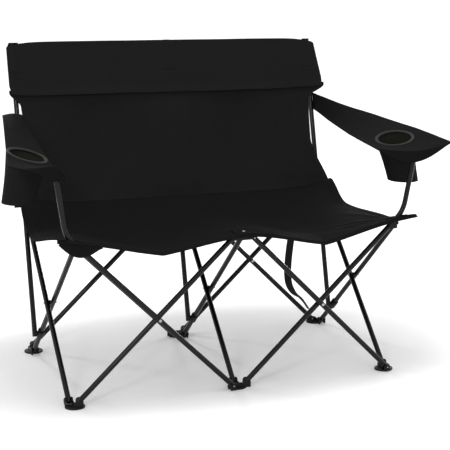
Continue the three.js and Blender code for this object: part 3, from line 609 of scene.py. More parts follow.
# Runs a tree on a piece and keeps only the plain mesh that comes out
def runTree(piece, tree, given, smoothAngle=None):
    modifier = piece.modifiers.new(tree.name, "NODES")
    modifier.node_group = tree
    for item in tree.interface.items_tree:
        if item.in_out == "INPUT" and item.name in given:
            modifier[item.identifier] = given[item.name]
    piece.update_tag()
    return settle(piece, smoothAngle)


def stitchPiece(name, lines):
    points, edges = [], []
    for line in lines:
        start = len(points)
        points += [tuple(p) for p in line]
        edges += [(start + i, start + i + 1) for i in range(len(line) - 1)]
    mesh = bpy.data.meshes.new(name)
    mesh.from_pydata(points, edges, [])
    given = {"Pitch": stitch["pitch"], "Length": stitch["length"], "Thickness": stitch["thickness"]}
    return runTree(addObject(name, mesh), trees["stitches"], given | {"Thread": finishes["thread"]})


# A profile of radius and height turned about Z, closed flat at both ends
def turned(name, profile, material, sides=28):
    points = []
    for radius, height in profile:
        for i in range(sides):
            around = 2 * math.pi * i / sides
            points.append((radius * math.cos(around), radius * math.sin(around), height))
    faces = [(a, b, d, c) for a, b, c, d in ringCorners(sides, len(profile))]
    faces.append(tuple(range(sides))[::-1])
    faces.append(tuple(len(points) - sides + i for i in range(sides)))
    return meshPiece(name, points, faces, [material], smoothAngle=smoothAngles["turned"])


rivet = dict(radius=0.0046, lip=0.0009, height=0.0026, neck=0.94, lipStart=0.35, dome=0.93, domeSteps=7, sides=20)


def rivetProfile():
    radius, lip, height = rivet["radius"], rivet["lip"], rivet["height"]
    dome = [
        (radius * math.cos(t), lip + (height - lip) * math.sin(t))
        for t in np.linspace(0.0, math.pi / 2 * rivet["dome"], rivet["domeSteps"])
    ]
    return [(radius * rivet["neck"], 0.0), (radius, lip * rivet["lipStart"]), *dome]


def rivetPiece(name, places):
    head = turned("rivetHead", rivetProfile(), finishes["bright"], sides=rivet["sides"])
    mesh = bpy.data.meshes.new(name)
    mesh.from_pydata([tuple(place) for place, _ in places], [], [])
    facing = mesh.attributes.new("facing", "FLOAT_VECTOR", "POINT")
    facing.data.foreach_set("vector", np.array([way for _, way in places], float).ravel())
    given = {"Head": head, "Finish": finishes["bright"]}
    piece = runTree(addObject(name, mesh), trees["rivets"], given, smoothAngles["turned"])
    bpy.data.objects.remove(head)
    return piece


# Tubes, round where the frame's own are many-sided
tube = dict(radius=0.008, wall=0.001, sides=36, lip=0.0004, stations=9, endReach=2e-4)


def tubeEnds(name):
    mesh = nodes[name].data
    points = np.empty(len(mesh.vertices) * 3)
    mesh.vertices.foreach_get("co", points)
    points = np.unique(points.reshape(-1, 3).round(6), axis=0)
    middle = points.mean(0)
    along = np.linalg.svd(points - middle, full_matrices=False)[2][0]
    along = along * np.sign(along[2])
    reach = (points - middle) @ along
    return [points[np.abs(reach - edge) < tube["endReach"]].mean(0) for edge in (reach.min(), reach.max())]


# A hollow tube along a path: out over one end, along the outside, in over the other end, and back inside
def tubePiece(name, path, sideways=None):
    path = np.asarray(path, float)
    along = unit(np.gradient(path, axis=0))
    if sideways is None:
        sideways = unit(np.cross(along[0], (0.0, 0.0, 1.0)))
    sideways = np.asarray(sideways, float)
    outer, inner, lip = tube["radius"], tube["radius"] - tube["wall"], tube["lip"]
    around = np.linspace(0, 2 * math.pi, tube["sides"], endpoint=False)
    last = len(path) - 1
    stations = [(0, inner, 0), (0, outer - lip, 0), (0, outer, lip)]
    stations += [(i, outer, 0) for i in range(1, last)]
    stations += [(last, outer, -lip), (last, outer - lip, 0), (last, inner, 0)]
    stations += [(i, inner, 0) for i in range(last - 1, 0, -1)]
    rings = []
    for i, radius, shift in stations:
        cross = unit(np.cross(sideways, along[i]))
        ring = np.outer(np.cos(around), sideways) + np.outer(np.sin(around), cross)
        rings.append(path[i] + along[i] * shift + ring * radius)
    faces = [(b, a, c, d) for a, b, c, d in ringCorners(tube["sides"], len(rings), closed=True)]
    return meshPiece(
        name, np.concatenate(rings), faces, [finishes["steel"]], smoothAngle=smoothAngles["tube"]
    )


straightTubes = [
    name for name in nodes
    if name.endswith(("_cross_tube", "_inner_tube", "_outer_tube", "_front_tube", "_rear_tube", "_upright"))
]
tubeAxes = {name: tubeEnds(name) for name in straightTubes}
for name, (low, high) in tubeAxes.items():
    path = np.linspace(low, high, tube["stations"])
    ride(tubePiece(f"{name}Round", path), bodyOf(name), "black_steel", name)
print("straight tubes:", len(straightTubes))

# The feet's places: the front row's depth, and the spacing across and from front to rear
frontLine = -0.3281824
bay = dict(width=0.52, depth=0.54)
columns = dict(left=-bay["width"], centre=0.0, right=bay["width"])

# The front tubes that go on as arm posts: the run up to the bend, the bend, and the leaning post
armPost = dict(
    footInset=0.028, footHeight=0.017, rise=0.457, span=0.474, straight=0.061, bendRadius=0.095,
    lean=math.radians(9.5), top=0.697, end=0.008, offset=0.010, runSteps=10, bendSteps=26, postSteps=6,
)
scissorLength = math.hypot(armPost["span"], armPost["rise"])
pivotHeight = armPost["footHeight"] + armPost["rise"]


def armPostPath(side):
    a = armPost
    opening = math.atan2(a["span"], a["rise"])
    turn = opening - a["lean"]
    bendStart = scissorLength + a["straight"] - a["bendRadius"] * math.tan(turn / 2)
    run = [(0, z) for z in np.linspace(-a["end"], bendStart, a["runSteps"])[:-1]]
    for angle in np.linspace(0, turn, a["bendSteps"]):
        run.append((a["bendRadius"] * (1 - math.cos(angle)), bendStart + a["bendRadius"] * math.sin(angle)))
    x, z = run[-1]
    height = a["footHeight"] + z * math.cos(opening) + x * math.sin(opening)
    left = (a["top"] - height) / math.cos(a["lean"])
    run += [(x + t * math.sin(turn), z + t * math.cos(turn)) for t in np.linspace(0, left, a["postSteps"])[1:]]
    path = []
    for x, z in run:
        outward = z * math.sin(opening) - x * math.cos(opening)
        height = a["footHeight"] + z * math.cos(opening) + x * math.sin(opening)
        path.append((side * (a["footInset"] + outward), frontLine + side * a["offset"], height))
    return np.array(path)


armPaths = {}
for word, side in (("left", -1), ("right", 1)):
    armPaths[word] = armPostPath(side)
    name = f"front_{word}_arm_tube"
    ride(tubePiece(f"{name}Round", armPaths[word], sideways=(0, 1, 0)), bodyOf(name), "black_steel", name)
print("arm posts: 2")

# Plastic feet, brackets, shoes, sliders and caps, with their edges eased
ease = dict(width=0.0007, segments=3, flatAngle=1.5, edgeAngle=32, smoothAngle=40, merge=1e-5)


def eased(name):
    mesh = nodes[name].data.copy()
    shape = bmesh.new()
    shape.from_mesh(mesh)
    bmesh.ops.remove_doubles(shape, verts=shape.verts, dist=ease["merge"])
    bmesh.ops.dissolve_limit(
        shape, angle_limit=math.radians(ease["flatAngle"]), verts=shape.verts, edges=shape.edges
    )
    shape.to_mesh(mesh)
    shape.free()
    mesh.materials.clear()
    mesh.materials.append(finishes["plastic"])
    piece = addObject(f"{name}Eased", mesh)
    bevel = piece.modifiers.new("edges", "BEVEL")
    bevel.width = ease["width"]
    bevel.segments = ease["segments"]
    bevel.limit_method = "ANGLE"
    bevel.angle_limit = math.radians(ease["edgeAngle"])
    bevel.use_clamp_overlap = True
    return ride(settle(piece, ease["smoothAngle"]), bodyOf(name), "black_plastic", name)


plasticNodes = [name for name in nodes if name.endswith(("_foot", "_bracket", "_shoe", "_slider", "_cap"))]
for name in plasticNodes:
    eased(name)
print("plastic parts:", len(plasticNodes))

# Rivets: one on the outer side of every pivot, and one through every crossing, with a washer between the tubes
pivots = dict(reach=0.008, tubeFace=0.0083, ear=0.0036, headInset=0.0024)
washer = dict(half=0.0017, hole=0.0026, face=0.0064, rim=0.0068, rimShare=0.5)
rivetsOf = {}


def columnWord(x):
    return min(columns, key=lambda word: abs(columns[word] - x))


def addRivet(body, place, way):
    rivetsOf.setdefault(body, []).append((place, way))


scissors = dict(tubeAxes)
for word, path in armPaths.items():
    scissors[f"front_{word}_arm_tube"] = (path[0], path[armPost["runSteps"] - 1])
for name, (low, high) in scissors.items():
    if name.endswith("_upright"):
        continue
    along = unit(high - low)
    word = name.split("_")[0]
    if "_side_" in name:
        way = np.array((np.sign(low[0] - columns[word]), 0, 0))
        footRow, topRow = ("rear", "front") if low[1] > frontLine + bay["depth"] / 2 else ("front", "rear")
        foot, bracket = f"{footRow}_{word}_foot", f"{topRow}_{word}_bracket"
    else:
        plane = frontLine + (0.0 if word == "front" else bay["depth"])
        way = np.array((0, np.sign(low[1] - plane), 0))
        top = low + along * scissorLength
        foot, bracket = f"{word}_{columnWord(low[0])}_foot", f"{word}_{columnWord(top[0])}_bracket"
    nearFoot = low + along * pivots["reach"]
    nearTop = low + along * (scissorLength + pivots["reach"])
    addRivet(bodyOf(foot), nearFoot + way * (pivots["tubeFace"] + pivots["ear"]), way)
    addRivet(bodyOf(bracket), nearTop + way * pivots["tubeFace"], way)
for body, places in rivetsOf.items():
    ride(rivetPiece(f"{body}Rivets", places), body, "bright_steel")


def washerProfile():
    half, hole, face, rim = washer["half"], washer["hole"], washer["face"], washer["rim"]
    edge = half * washer["rimShare"]
    return [(hole, -half), (face, -half), (rim, -edge), (rim, edge), (face, half), (hole, half)]


crossNodes = [name for name in nodes if name.endswith("_rivet")]
for name in crossNodes:
    low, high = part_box(name)
    centre = np.array((low + high) / 2)
    size = np.array(high - low)
    axis = np.zeros(3)
    axis[0 if "_side_" in name else 1] = 1.0
    reach = float(size @ axis) / 2 - pivots["headInset"]
    heads = rivetPiece(f"{name}Heads", [(centre + axis * reach, axis), (centre - axis * reach, -axis)])
    ride(heads, bodyOf(name), "bright_steel", name)
    disc = turned(f"{name}Washer", washerProfile(), finishes["plastic"])
    turn = Matrix.Rotation(math.pi / 2, 4, "Y" if "_side_" in name else "X")
    disc.data.transform(Matrix.Translation(Vector(centre)) @ turn)
    ride(disc, bodyOf(name), "black_plastic")
print("rivets on", len(rivetsOf), "bodies and", len(crossNodes), "crossings")


# The seat: one cloth over both bays, hung between the brackets. across runs from -1 to 1 over its width, and y
# from the feet's front row to the rear. A ripple is given as its seed, shortest and longest wave, and height, and
# columns and rows as their count, the share of each edge where they crowd, and their count there
seat = dict(
    front=-0.030, rear=0.5078, halfWidth=0.524, base=0.489,
    cornerReach=0.052, cornerLength=0.046, cornerLift=0.022, liftPower=4, edgePower=8,
    rearCornerReach=0.020, rearCornerLength=0.170, rearCornerLift=0.026,
    sag=0.078, frontSag=0.58, rearSag=0.02, leftBay=0.84, rearRise=0.010, freeStart=0.048, freeEnd=0.490,
    sideSag=0.025, leftSag=0.038, sidePower=1.5, leftReach=0.040, reachPower=0.5,
    crease=0.7, creaseLength=0.150, creasePower=1.5, ripple=(3, 0.07, 0.42, 0.0011), calmEdge=0.05, calmShare=0.25,
    hemDrop=0.007, hemFold=-0.0204, cloth=0.0011, hem=0.0023, hemWidth=0.022, sideHem=0.018,
    columns=(170, 0.02, 8), rows=(100, 0.05, 10), corrections=12,
)


def seatFree(y, power=1):
    s = seat
    return np.sin(math.pi * np.clip((y - s["freeStart"]) / (s["freeEnd"] - s["freeStart"]), 0, 1) ** power)


def seatCorners(across, y):
    s = seat
    corner = smooth(1 - (y - s["front"]) / (2 * s["cornerLength"]))
    rearCorner = smooth(1 - (s["rear"] - y) / s["rearCornerLength"]) * np.abs(across) ** s["edgePower"]
    leftward = np.maximum(0, -across) ** s["edgePower"]
    return corner, rearCorner, leftward


# How deep the cloth hangs over the two bays between the columns, as a share
def overBays(across):
    return np.sin(math.pi * np.minimum(1, np.abs(across))) ** 2


def seatHeight(across, y):
    s = seat
    along = (y - s["front"]) / (s["rear"] - s["front"])
    corner, rearCorner, leftward = seatCorners(across, y)
    creased = s["crease"] * smooth(1 - (y - s["front"]) / s["creaseLength"])
    ridge = np.maximum(0, 1 - np.abs(2 * np.abs(across) - 1)) ** s["creasePower"]
    hang = overBays(across) * (1 - creased) + ridge * creased
    free = seatFree(y)
    frontShare = s["frontSag"] * np.where(across < 0, s["leftBay"], 1)
    edgeShare = frontShare + (s["rearSag"] - frontShare) * along
    depth = s["sag"] * (edgeShare + (1 - s["frontSag"]) * free)
    held = (s["sideSag"] + s["leftSag"] * leftward) * seatFree(y, s["sidePower"]) * (1 - hang)
    lift = s["cornerLift"] * corner * np.abs(across) ** s["liftPower"] + s["rearCornerLift"] * rearCorner
    drop = s["hemDrop"] * smooth((s["hemFold"] - y) / (s["hemFold"] - s["front"]))
    rise = s["rearRise"] * smooth(along)
    return s["base"] + lift + rise - drop - depth * hang - held


def seatWidth(across, y):
    s = seat
    corner, rearCorner, leftward = seatCorners(across, y)
    reach = s["cornerReach"] * corner * np.abs(across) ** s["edgePower"] + s["rearCornerReach"] * rearCorner
    return across * (s["halfWidth"] + reach + s["leftReach"] * seatFree(y) ** s["reachPower"] * leftward)


# Tension creases: x0, y0, x1, y1, width, height, from the held points into the free cloth
seatCreases = [
    (-0.500, 0.010, -0.330, 0.150, 0.010, 0.0022), (-0.500, 0.004, -0.300, 0.070, 0.009, -0.0018),
    (-0.505, 0.020, -0.440, 0.230, 0.011, 0.0020), (-0.512, 0.015, -0.490, 0.200, 0.008, -0.0014),
    (0.500, 0.010, 0.320, 0.140, 0.010, 0.0022), (0.500, 0.004, 0.290, 0.060, 0.009, -0.0018),
    (0.505, 0.020, 0.440, 0.240, 0.011, 0.0020), (0.512, 0.015, 0.490, 0.190, 0.008, -0.0014),
    (-0.010, 0.004, -0.200, 0.100, 0.010, 0.0018), (-0.006, 0.012, -0.110, 0.200, 0.011, -0.0015),
    (0.012, 0.004, 0.210, 0.110, 0.010, 0.0018), (0.008, 0.012, 0.120, 0.210, 0.011, -0.0015),
    (0.000, 0.020, 0.010, 0.260, 0.013, 0.0016), (-0.300, 0.500, -0.270, 0.330, 0.014, 0.0012),
    (0.260, 0.500, 0.300, 0.320, 0.014, 0.0012), (0.000, 0.500, -0.030, 0.350, 0.012, -0.0012),
]


def seatPoint(across, y):
    s = seat
    x = seatWidth(across, y)
    free = smooth((y - s["front"]) / s["calmEdge"]) * smooth((s["rear"] - y) / s["calmEdge"])
    z = seatHeight(across, y) + waves(x, y, *s["ripple"]) * (s["calmShare"] + (1 - s["calmShare"]) * free)
    for line in seatCreases:
        z = z + crease(x, y, *line)
    return np.stack([x, y + frontLine, z], axis=-1)


def inSeatHem(across, y):
    s = seat
    fromFront = y - s["front"]
    fromSide = (1 - np.abs(across)) * s["halfWidth"]
    return (fromFront < s["hemWidth"]) | (fromSide < s["sideHem"])


def gridOf(surface, across, along):
    acrossGrid, alongGrid = np.meshgrid(across, along)
    return surface(acrossGrid, alongGrid), acrossGrid, alongGrid


# A closed prism between two rings of points, to cut with
def prism(name, low, high, material):
    count = len(low)
    faces = [(a, b, d, c) for a, b, c, d in ringCorners(count, 2)]
    faces += [tuple(range(count))[::-1], tuple(range(count, 2 * count))]
    return meshPiece(name, np.concatenate([low, high]), faces, [material])


# A cutter's shape is taken out of a piece, and the cutter is removed
def cutOut(piece, cutter):
    cut = piece.modifiers.new("cut", "BOOLEAN")
    cut.operation = "DIFFERENCE"
    cut.solver = "EXACT"
    cut.object = cutter
    settle(piece, smoothAngles["cloth"])
    bpy.data.objects.remove(cutter)


# The slot that each post comes up through, and the border sewn around it
slot = dict(
    length=0.050, width=0.0185, sides=40, tall=0.08, postHeight=0.003, border=0.013, overlap=0.001,
    borderSides=72, rows=7, cloth=0.0013, rise=0.0016, stitchShares=(0.16, 0.84), stitchRise=0.0027,
)


# An outline with half-round ends, as offsets from its centre in plan
def slotOutline(length, width, count):
    around = np.linspace(0, 2 * math.pi, count, endpoint=False)
    straight = (length - width) / 2
    x = np.cos(around) * width / 2 + np.sign(np.cos(around)) * straight
    y = np.sin(around) * width / 2
    return np.stack([x, y], axis=-1)


def postAt(word, height):
    path = armPaths[word]
    return np.array([np.interp(height, path[:, 2], path[:, k]) for k in (0, 1)])


# The cloth's height under a point in plan: across is corrected until the seat's width there gives x
def seatHeightAt(x, y):
    across = x / seat["halfWidth"]
    for _ in range(seat["corrections"]):
        across = across * x / np.where(np.abs(seatWidth(across, y)) < 1e-9, 1, seatWidth(across, y))
        across = np.where(np.isfinite(across), across, 0)
    return seatPoint(across, y)[..., 2]


seatRows = seat["front"] + (seat["rear"] - seat["front"]) * crowded(*seat["rows"])
seatGrid, seatAcross, seatAlong = gridOf(seatPoint, crowded(*seat["columns"]) * 2 - 1, seatRows)
seatThickness = np.where(inSeatHem(seatAcross, seatAlong), seat["hem"], seat["cloth"])
seatPiece = clothShell("seatCloth", seatGrid, seatThickness, finishes["seatCloth"])
slotCentres = {word: postAt(word, seat["base"] + slot["postHeight"]) for word in ("left", "right")}
for centre in slotCentres.values():
    outline = centre + slotOutline(slot["length"], slot["width"], slot["sides"])
    low, high = [
        np.column_stack([outline, np.full(len(outline), height)])
        for height in (seat["base"] - slot["tall"], seat["base"] + slot["tall"])
    ]
    cutOut(seatPiece, prism("slotCutter", low, high, finishes["seatCloth"]))
gather(seatPiece, "seat", "seat_cloth", "seat_panel")


# Lines of stitches on the seat, a little above the cloth: two along the front hem, the rear one and the sides
seatSeams = dict(
    lift=0.0013, reach=0.985, hemShare=0.88, edge=0.0035, rear=0.006, sideShare=0.85, end=0.004,
    longPoints=500, sidePoints=260,
)


def seatLine(across, y):
    points = seatPoint(across, y)
    points[:, 2] += seatSeams["lift"]
    return points


acrossRun = np.linspace(-seatSeams["reach"], seatSeams["reach"], seatSeams["longPoints"])
alongRun = np.linspace(seat["front"] + seatSeams["end"], seat["rear"] - seatSeams["end"], seatSeams["sidePoints"])
hemLine = seat["front"] + seat["hemWidth"] * seatSeams["hemShare"]
edgeLine, rearLine = seat["front"] + seatSeams["edge"], seat["rear"] - seatSeams["rear"]
sideLine = 1 - seat["sideHem"] * seatSeams["sideShare"] / seat["halfWidth"]
seatLines = [seatLine(acrossRun, np.full_like(acrossRun, y)) for y in (hemLine, edgeLine)]
seatLines += [seatLine(np.full_like(alongRun, across), alongRun) for across in (-sideLine, sideLine)]
seatLines.append(seatLine(acrossRun, np.full_like(acrossRun, rearLine)))
gather(stitchPiece("seatStitches", seatLines), "seat", "seat_cloth")


def slotBorder(word):
    centre, sides = slotCentres[word], slot["borderSides"]
    inner = slotOutline(slot["length"] - slot["overlap"], slot["width"] - slot["overlap"], sides)
    outer = slotOutline(slot["length"] + 2 * slot["border"], slot["width"] + 2 * slot["border"], sides)
    shares = np.linspace(0, 1, slot["rows"])[:, None, None]
    plan = centre + inner[None] * (1 - shares) + outer[None] * shares
    height = seatHeightAt(plan[..., 0], plan[..., 1] - frontLine)
    grid = np.dstack([plan, height + slot["rise"]])[:, ::-1]
    border = clothShell(f"{word}SlotBorder", grid, slot["cloth"], finishes["seatCloth"], wraps=True)
    lines = []
    for share in slot["stitchShares"]:
        ring = centre + inner * (1 - share) + outer * share
        loop = np.column_stack([ring, seatHeightAt(ring[:, 0], ring[:, 1] - frontLine) + slot["stitchRise"]])
        lines.append(np.vstack([loop, loop[:1]]))
    bracket = bodyOf(f"front_{word}_bracket")
    ride(border, bracket, "seat_cloth")
    ride(stitchPiece(f"{word}SlotStitches", lines), bracket, "seat_cloth")


for word in ("left", "right"):
    slotBorder(word)

# The pocket that hangs from the hem at the left front corner, in front of the bracket
cornerPocket = dict(
    outer=0.995, inner=0.83, depth=0.034, edge=0.004, peak=0.42, power=1.15, belly=0.005, tuck=0.006, cloth=0.0016,
    ruck=(41, 0.012, 0.06, 0.0009), ruckReach=0.05, ruckSteep=3, forward=0.001, below=0.0012,
    stitchOffset=(0, -0.0012, 0.0008), stitchRows=(-2, -3), columns=90, rows=26,
)


# A hump over shares from 0 to 1 that is highest at one of them
def peak(share, at, power):
    return np.maximum(0, np.sin(math.pi * share ** (math.log(0.5) / math.log(at)))) ** power


def cornerPocketPoint(share, v):
    c = cornerPocket
    across = share * (c["outer"] - c["inner"]) - c["outer"]
    top = seatPoint(across, np.full_like(across, seat["front"]))
    depth = c["edge"] + c["depth"] * peak(share, c["peak"], c["power"])
    belly = c["belly"] * np.sin(math.pi * v) - c["tuck"] * v
    ruck = waves(top[..., 0], v * c["ruckReach"], *c["ruck"]) * smooth(v * c["ruckSteep"])
    return top + np.stack([np.zeros_like(v), c["forward"] - belly + ruck, -c["below"] - v * depth], axis=-1)


grid, _, _ = gridOf(
    cornerPocketPoint, np.linspace(0, 1, cornerPocket["columns"]), np.linspace(0, 1, cornerPocket["rows"])
)
cornerPocketPiece = clothShell("leftCornerPocket", grid, cornerPocket["cloth"], finishes["seatCloth"])
gather(cornerPocketPiece, "seat", "seat_cloth", "left_corner_pocket")
pocketHem = [grid[row] + cornerPocket["stitchOffset"] for row in cornerPocket["stitchRows"]]
gather(stitchPiece("cornerPocketStitches", pocketHem), "seat", "seat_cloth")

# The crinkled patch that holds the middle of the front edge to its bracket, with a rivet through it
centrePatch = dict(
    low=(-0.030, -0.026), high=(0.098, 0.034), cloth=0.0013, rise=0.0022, ripple=(21, 0.012, 0.05, 0.0013),
    ribPitch=0.017, ribLean=40, ribHeight=0.0005, deepest=0.0012, edge=0.008, inset=3, stitchLift=0.0011,
    rivetRise=0.0028, columns=90, rows=40,
)


def centrePatchPiece():
    p = centrePatch
    x, y = np.meshgrid(
        np.linspace(p["low"][0], p["high"][0], p["columns"]), np.linspace(p["low"][1], p["high"][1], p["rows"])
    )
    height = seatHeightAt(x, y) + p["rise"]
    edge = smooth((x - p["low"][0]) / p["edge"]) * smooth((p["high"][0] - x) / p["edge"])
    edge = edge * smooth((y - p["low"][1]) / p["edge"]) * smooth((p["high"][1] - y) / p["edge"])
    ribs = np.sin(x * 2 * math.pi / p["ribPitch"] + y * p["ribLean"]) * p["ribHeight"]
    ripple = waves(x, y * 0.5, *p["ripple"]) + ribs
    grid = np.dstack([x, y + frontLine, height + np.maximum(ripple, -p["deepest"]) * edge])
    patch = clothShell("centrePatch", grid, p["cloth"], finishes["seatCloth"])
    bracket = bodyOf("front_centre_bracket")
    ride(patch, bracket, "seat_cloth")
    inside = grid[p["inset"]:-p["inset"], p["inset"]:-p["inset"]]
    loop = np.concatenate([inside[0], inside[:, -1], inside[-1][::-1], inside[:, 0][::-1]])
    loop = np.vstack([loop, loop[:1]]) + (0, 0, p["stitchLift"])
    ride(stitchPiece("centrePatchStitches", [loop]), bracket, "seat_cloth")
    top = float(seatHeightAt(np.array(0.0), np.array(0.0))) + p["rivetRise"]
    ride(rivetPiece("centrePatchRivet", [((0.0, frontLine, top), (0, 0, 1))]), bracket, "bright_steel")


centrePatchPiece()
print("seat cloth made")


# The back, drawn in the uprights' own frame: across, to the rear, and along the uprights
lowUpright, highUpright = tubeAxes["centre_upright"]
uprightAlong = unit(highUpright - lowUpright)
uprightLength = 0.529
uprightFrame = np.stack([(1, 0, 0), np.cross(uprightAlong, (1, 0, 0)), uprightAlong])
backOrigin = highUpright - uprightAlong * uprightLength


def fromUpright(x, y, z):
    local = np.stack(np.broadcast_arrays(x, y, z), axis=-1)
    return local @ uprightFrame + backOrigin


back = dict(
    bottom=0.0100, top=0.3745, halfWidth=0.512, waist=0.009, waistPower=0.8, flare=0.046, flareShare=0.5,
    topFlare=0.030, topFlareShare=0.12, rightFlare=0.030, flarePower=8, forward=0.0123, forwardShare=0.5,
    sag=0.026, sagPower=0.7, plane=-0.0100, ripple=(5, 0.08, 0.40, 0.0012), cloth=0.0012, hem=0.0026, sideHem=0.016,
    columns=(170, 0.02, 8), rows=110, rowsBehindBand=(1.012, 1.024),
)
# Tension creases, as on the seat
backCreases = [
    (-0.500, 0.040, -0.300, 0.110, 0.016, 0.0016), (-0.505, 0.060, -0.420, 0.210, 0.014, -0.0016),
    (0.500, 0.040, 0.300, 0.100, 0.016, 0.0016), (0.505, 0.070, 0.400, 0.220, 0.018, -0.0022),
    (0.500, 0.350, 0.380, 0.210, 0.017, -0.0020), (-0.500, 0.350, -0.400, 0.230, 0.016, -0.0014),
    (-0.012, 0.360, -0.016, 0.180, 0.020, -0.0014), (0.050, 0.034, 0.080, 0.130, 0.016, 0.0012),
    (-0.240, 0.032, -0.220, 0.110, 0.016, 0.0011), (0.300, 0.030, 0.280, 0.130, 0.015, 0.0012),
]


def backPoint(across, v):
    b = back
    z = b["bottom"] + v * (b["top"] - b["bottom"])
    bulge = np.sin(math.pi * np.clip(v, 0, 1))
    waist = b["waist"] * bulge ** b["waistPower"]
    topFlare = b["topFlare"] + b["rightFlare"] * np.maximum(0, across) ** b["flarePower"]
    topFlare = topFlare * (1 - smooth((1 - v) / b["topFlareShare"]))
    bottomFlare = b["flare"] * (1 - smooth(v / b["flareShare"]))
    x = across * (b["halfWidth"] - waist + topFlare + bottomFlare)
    forward = b["forward"] * (1 - smooth(v / b["forwardShare"]))
    hollow = b["sag"] * overBays(across) * bulge ** b["sagPower"]
    dent = waves(x, z, *b["ripple"]) * bulge
    for line in backCreases:
        dent = dent + crease(x, z, *line)
    return fromUpright(x, b["plane"] - forward + hollow - dent, z)


backRows = np.concatenate([np.linspace(0, 1.0, back["rows"]), back["rowsBehindBand"]])
backGrid, backAcross, _ = gridOf(backPoint, crowded(*back["columns"]) * 2 - 1, backRows)
backEdge = (1 - np.abs(backAcross)) * back["halfWidth"] < back["sideHem"]
backPiece = clothShell("backCloth", backGrid, np.where(backEdge, back["hem"], back["cloth"]), finishes["backCloth"])
gather(backPiece, "back", "back_cloth", "back_panel")


backSeams = dict(lift=0.0015, bottom=0.018, sideShare=0.85, sideStart=0.01, sidePoints=220)


def backLine(across, v):
    return backPoint(across, v) - uprightFrame[1] * backSeams["lift"]


upRun = np.linspace(backSeams["sideStart"], 1 - backSeams["sideStart"], backSeams["sidePoints"])
backSide = 1 - back["sideHem"] * backSeams["sideShare"] / back["halfWidth"]
backLines = [backLine(np.full_like(upRun, side * backSide), upRun) for side in (-1, 1)]
backLines.append(backLine(acrossRun, np.full_like(acrossRun, backSeams["bottom"])))
gather(stitchPiece("backStitches", backLines), "back", "back_cloth")

# The head band: a doubled strip over the top of the back, with a pocket over each upright. The rod is the bulge
# that an upright makes in it, and a groove is a sewn line. A change that is 4 steep takes a quarter of the height
band = dict(
    bottom=0.3635, top=0.5385, halfWidth=0.541, plane=-0.0128, cloth=0.0030, lap=0.004,
    lapSteep=6, cornerCut=0.015, cornerPower=16, lowSteep=5, highSteep=8, bottomCut=0.4,
    rightFlare=0.027, flarePower=8, billow=0.0045, billowPower=0.6,
    edgeRipple=(11, 0.10, 0.45, 0.0016), edgeGain=1.2, edgeSteep=4, ripple=(12, 0.06, 0.30, 0.0010),
    pocketLow=0.437, rod=0.0042, rodWidth=0.011, rodStart=0.03, rodSoft=0.04,
    groove=0.0016, grooveWidth=0.0028, grooveStart=0.004, grooveSoft=0.010,
    columns=(300, 0.02, 8), rows=(70, 0.06, 6),
)
# Each pocket's place and its reach to the left and to the right
pocketPlaces = dict(
    left=(columns["left"], -0.0155, 0.026),
    centre=(columns["centre"], -0.021, 0.021),
    right=(columns["right"], -0.026, 0.0155),
)


def hump(off, width):
    return np.exp(-((off / width) ** 2))


def bandRelief(x, z):
    b = band
    fromLow = z - b["pocketLow"]
    inPocket = smooth((fromLow + b["grooveStart"]) / b["grooveSoft"])
    relief = np.zeros_like(x)
    for place, left, right in pocketPlaces.values():
        off = x - place
        relief += b["rod"] * hump(off, b["rodWidth"]) * smooth((fromLow + b["rodStart"]) / b["rodSoft"])
        for edge in (left, right):
            relief -= b["groove"] * hump(off - edge, b["grooveWidth"]) * inPocket
        within = smooth((off - left) / b["grooveStart"] + 1) * smooth((right - off) / b["grooveStart"] + 1)
        relief -= b["groove"] * hump(fromLow, b["grooveWidth"]) * within
    return relief


def bandPoint(across, v):
    b = band
    z = b["bottom"] + v * (b["top"] - b["bottom"])
    low = np.clip(1 - v * b["lowSteep"], 0, 1) * b["bottomCut"]
    high = np.clip(v * b["highSteep"] - (b["highSteep"] - 1), 0, 1)
    cut = b["cornerCut"] * (low + high ** 2)
    x = across * (b["halfWidth"] - cut) + b["rightFlare"] * (1 - v) * np.maximum(0, across) ** b["flarePower"]
    z = z - np.abs(across) ** b["cornerPower"] * cut * (2 * v - 1)
    z = z + waves(x, z, *b["edgeRipple"]) * (1 - smooth(v * b["edgeSteep"])) * b["edgeGain"]
    billow = b["billow"] * overBays(across) * np.sin(math.pi * np.clip(v, 0, 1)) ** b["billowPower"]
    relief = bandRelief(x, z) + waves(x, z, *b["ripple"])
    lap = b["lap"] * (1 - smooth(v * b["lapSteep"]))
    return fromUpright(x, b["plane"] - lap + billow - relief, z)


bandGrid, _, _ = gridOf(bandPoint, crowded(*band["columns"]) * 2 - 1, crowded(*band["rows"]))
bandPiece = clothShell("headBand", bandGrid, band["cloth"], finishes["backCloth"])
gather(bandPiece, "back", "back_cloth", "head_band")


# Two long lines, and the sides and bottom of each pocket. A side past the end of the lines has none
bandSeams = dict(
    lift=0.0019, reach=0.525, heights=(0.3700, 0.5330), pocketTop=0.5305, lastSide=0.53,
    longPoints=500, upPoints=60, acrossPoints=40,
)


def bandLine(x, z):
    v = (z - band["bottom"]) / (band["top"] - band["bottom"])
    return bandPoint(x / band["halfWidth"], v) - uprightFrame[1] * bandSeams["lift"]


def pocketStitches(place, left, right):
    rise = np.linspace(band["pocketLow"], bandSeams["pocketTop"], bandSeams["upPoints"])
    run = np.linspace(place + left, place + right, bandSeams["acrossPoints"])
    sides = [place + edge for edge in (left, right) if abs(place + edge) < bandSeams["lastSide"]]
    return [bandLine(np.full_like(rise, x), rise) for x in sides] + [bandLine(run, np.full_like(run, rise[0]))]


bandRun = np.linspace(-bandSeams["reach"], bandSeams["reach"], bandSeams["longPoints"])
bandLines = [bandLine(bandRun, np.full_like(bandRun, height)) for height in bandSeams["heights"]]
for place in pocketPlaces.values():
    bandLines += pocketStitches(*place)
gather(stitchPiece("bandStitches", bandLines), "back", "back_cloth")

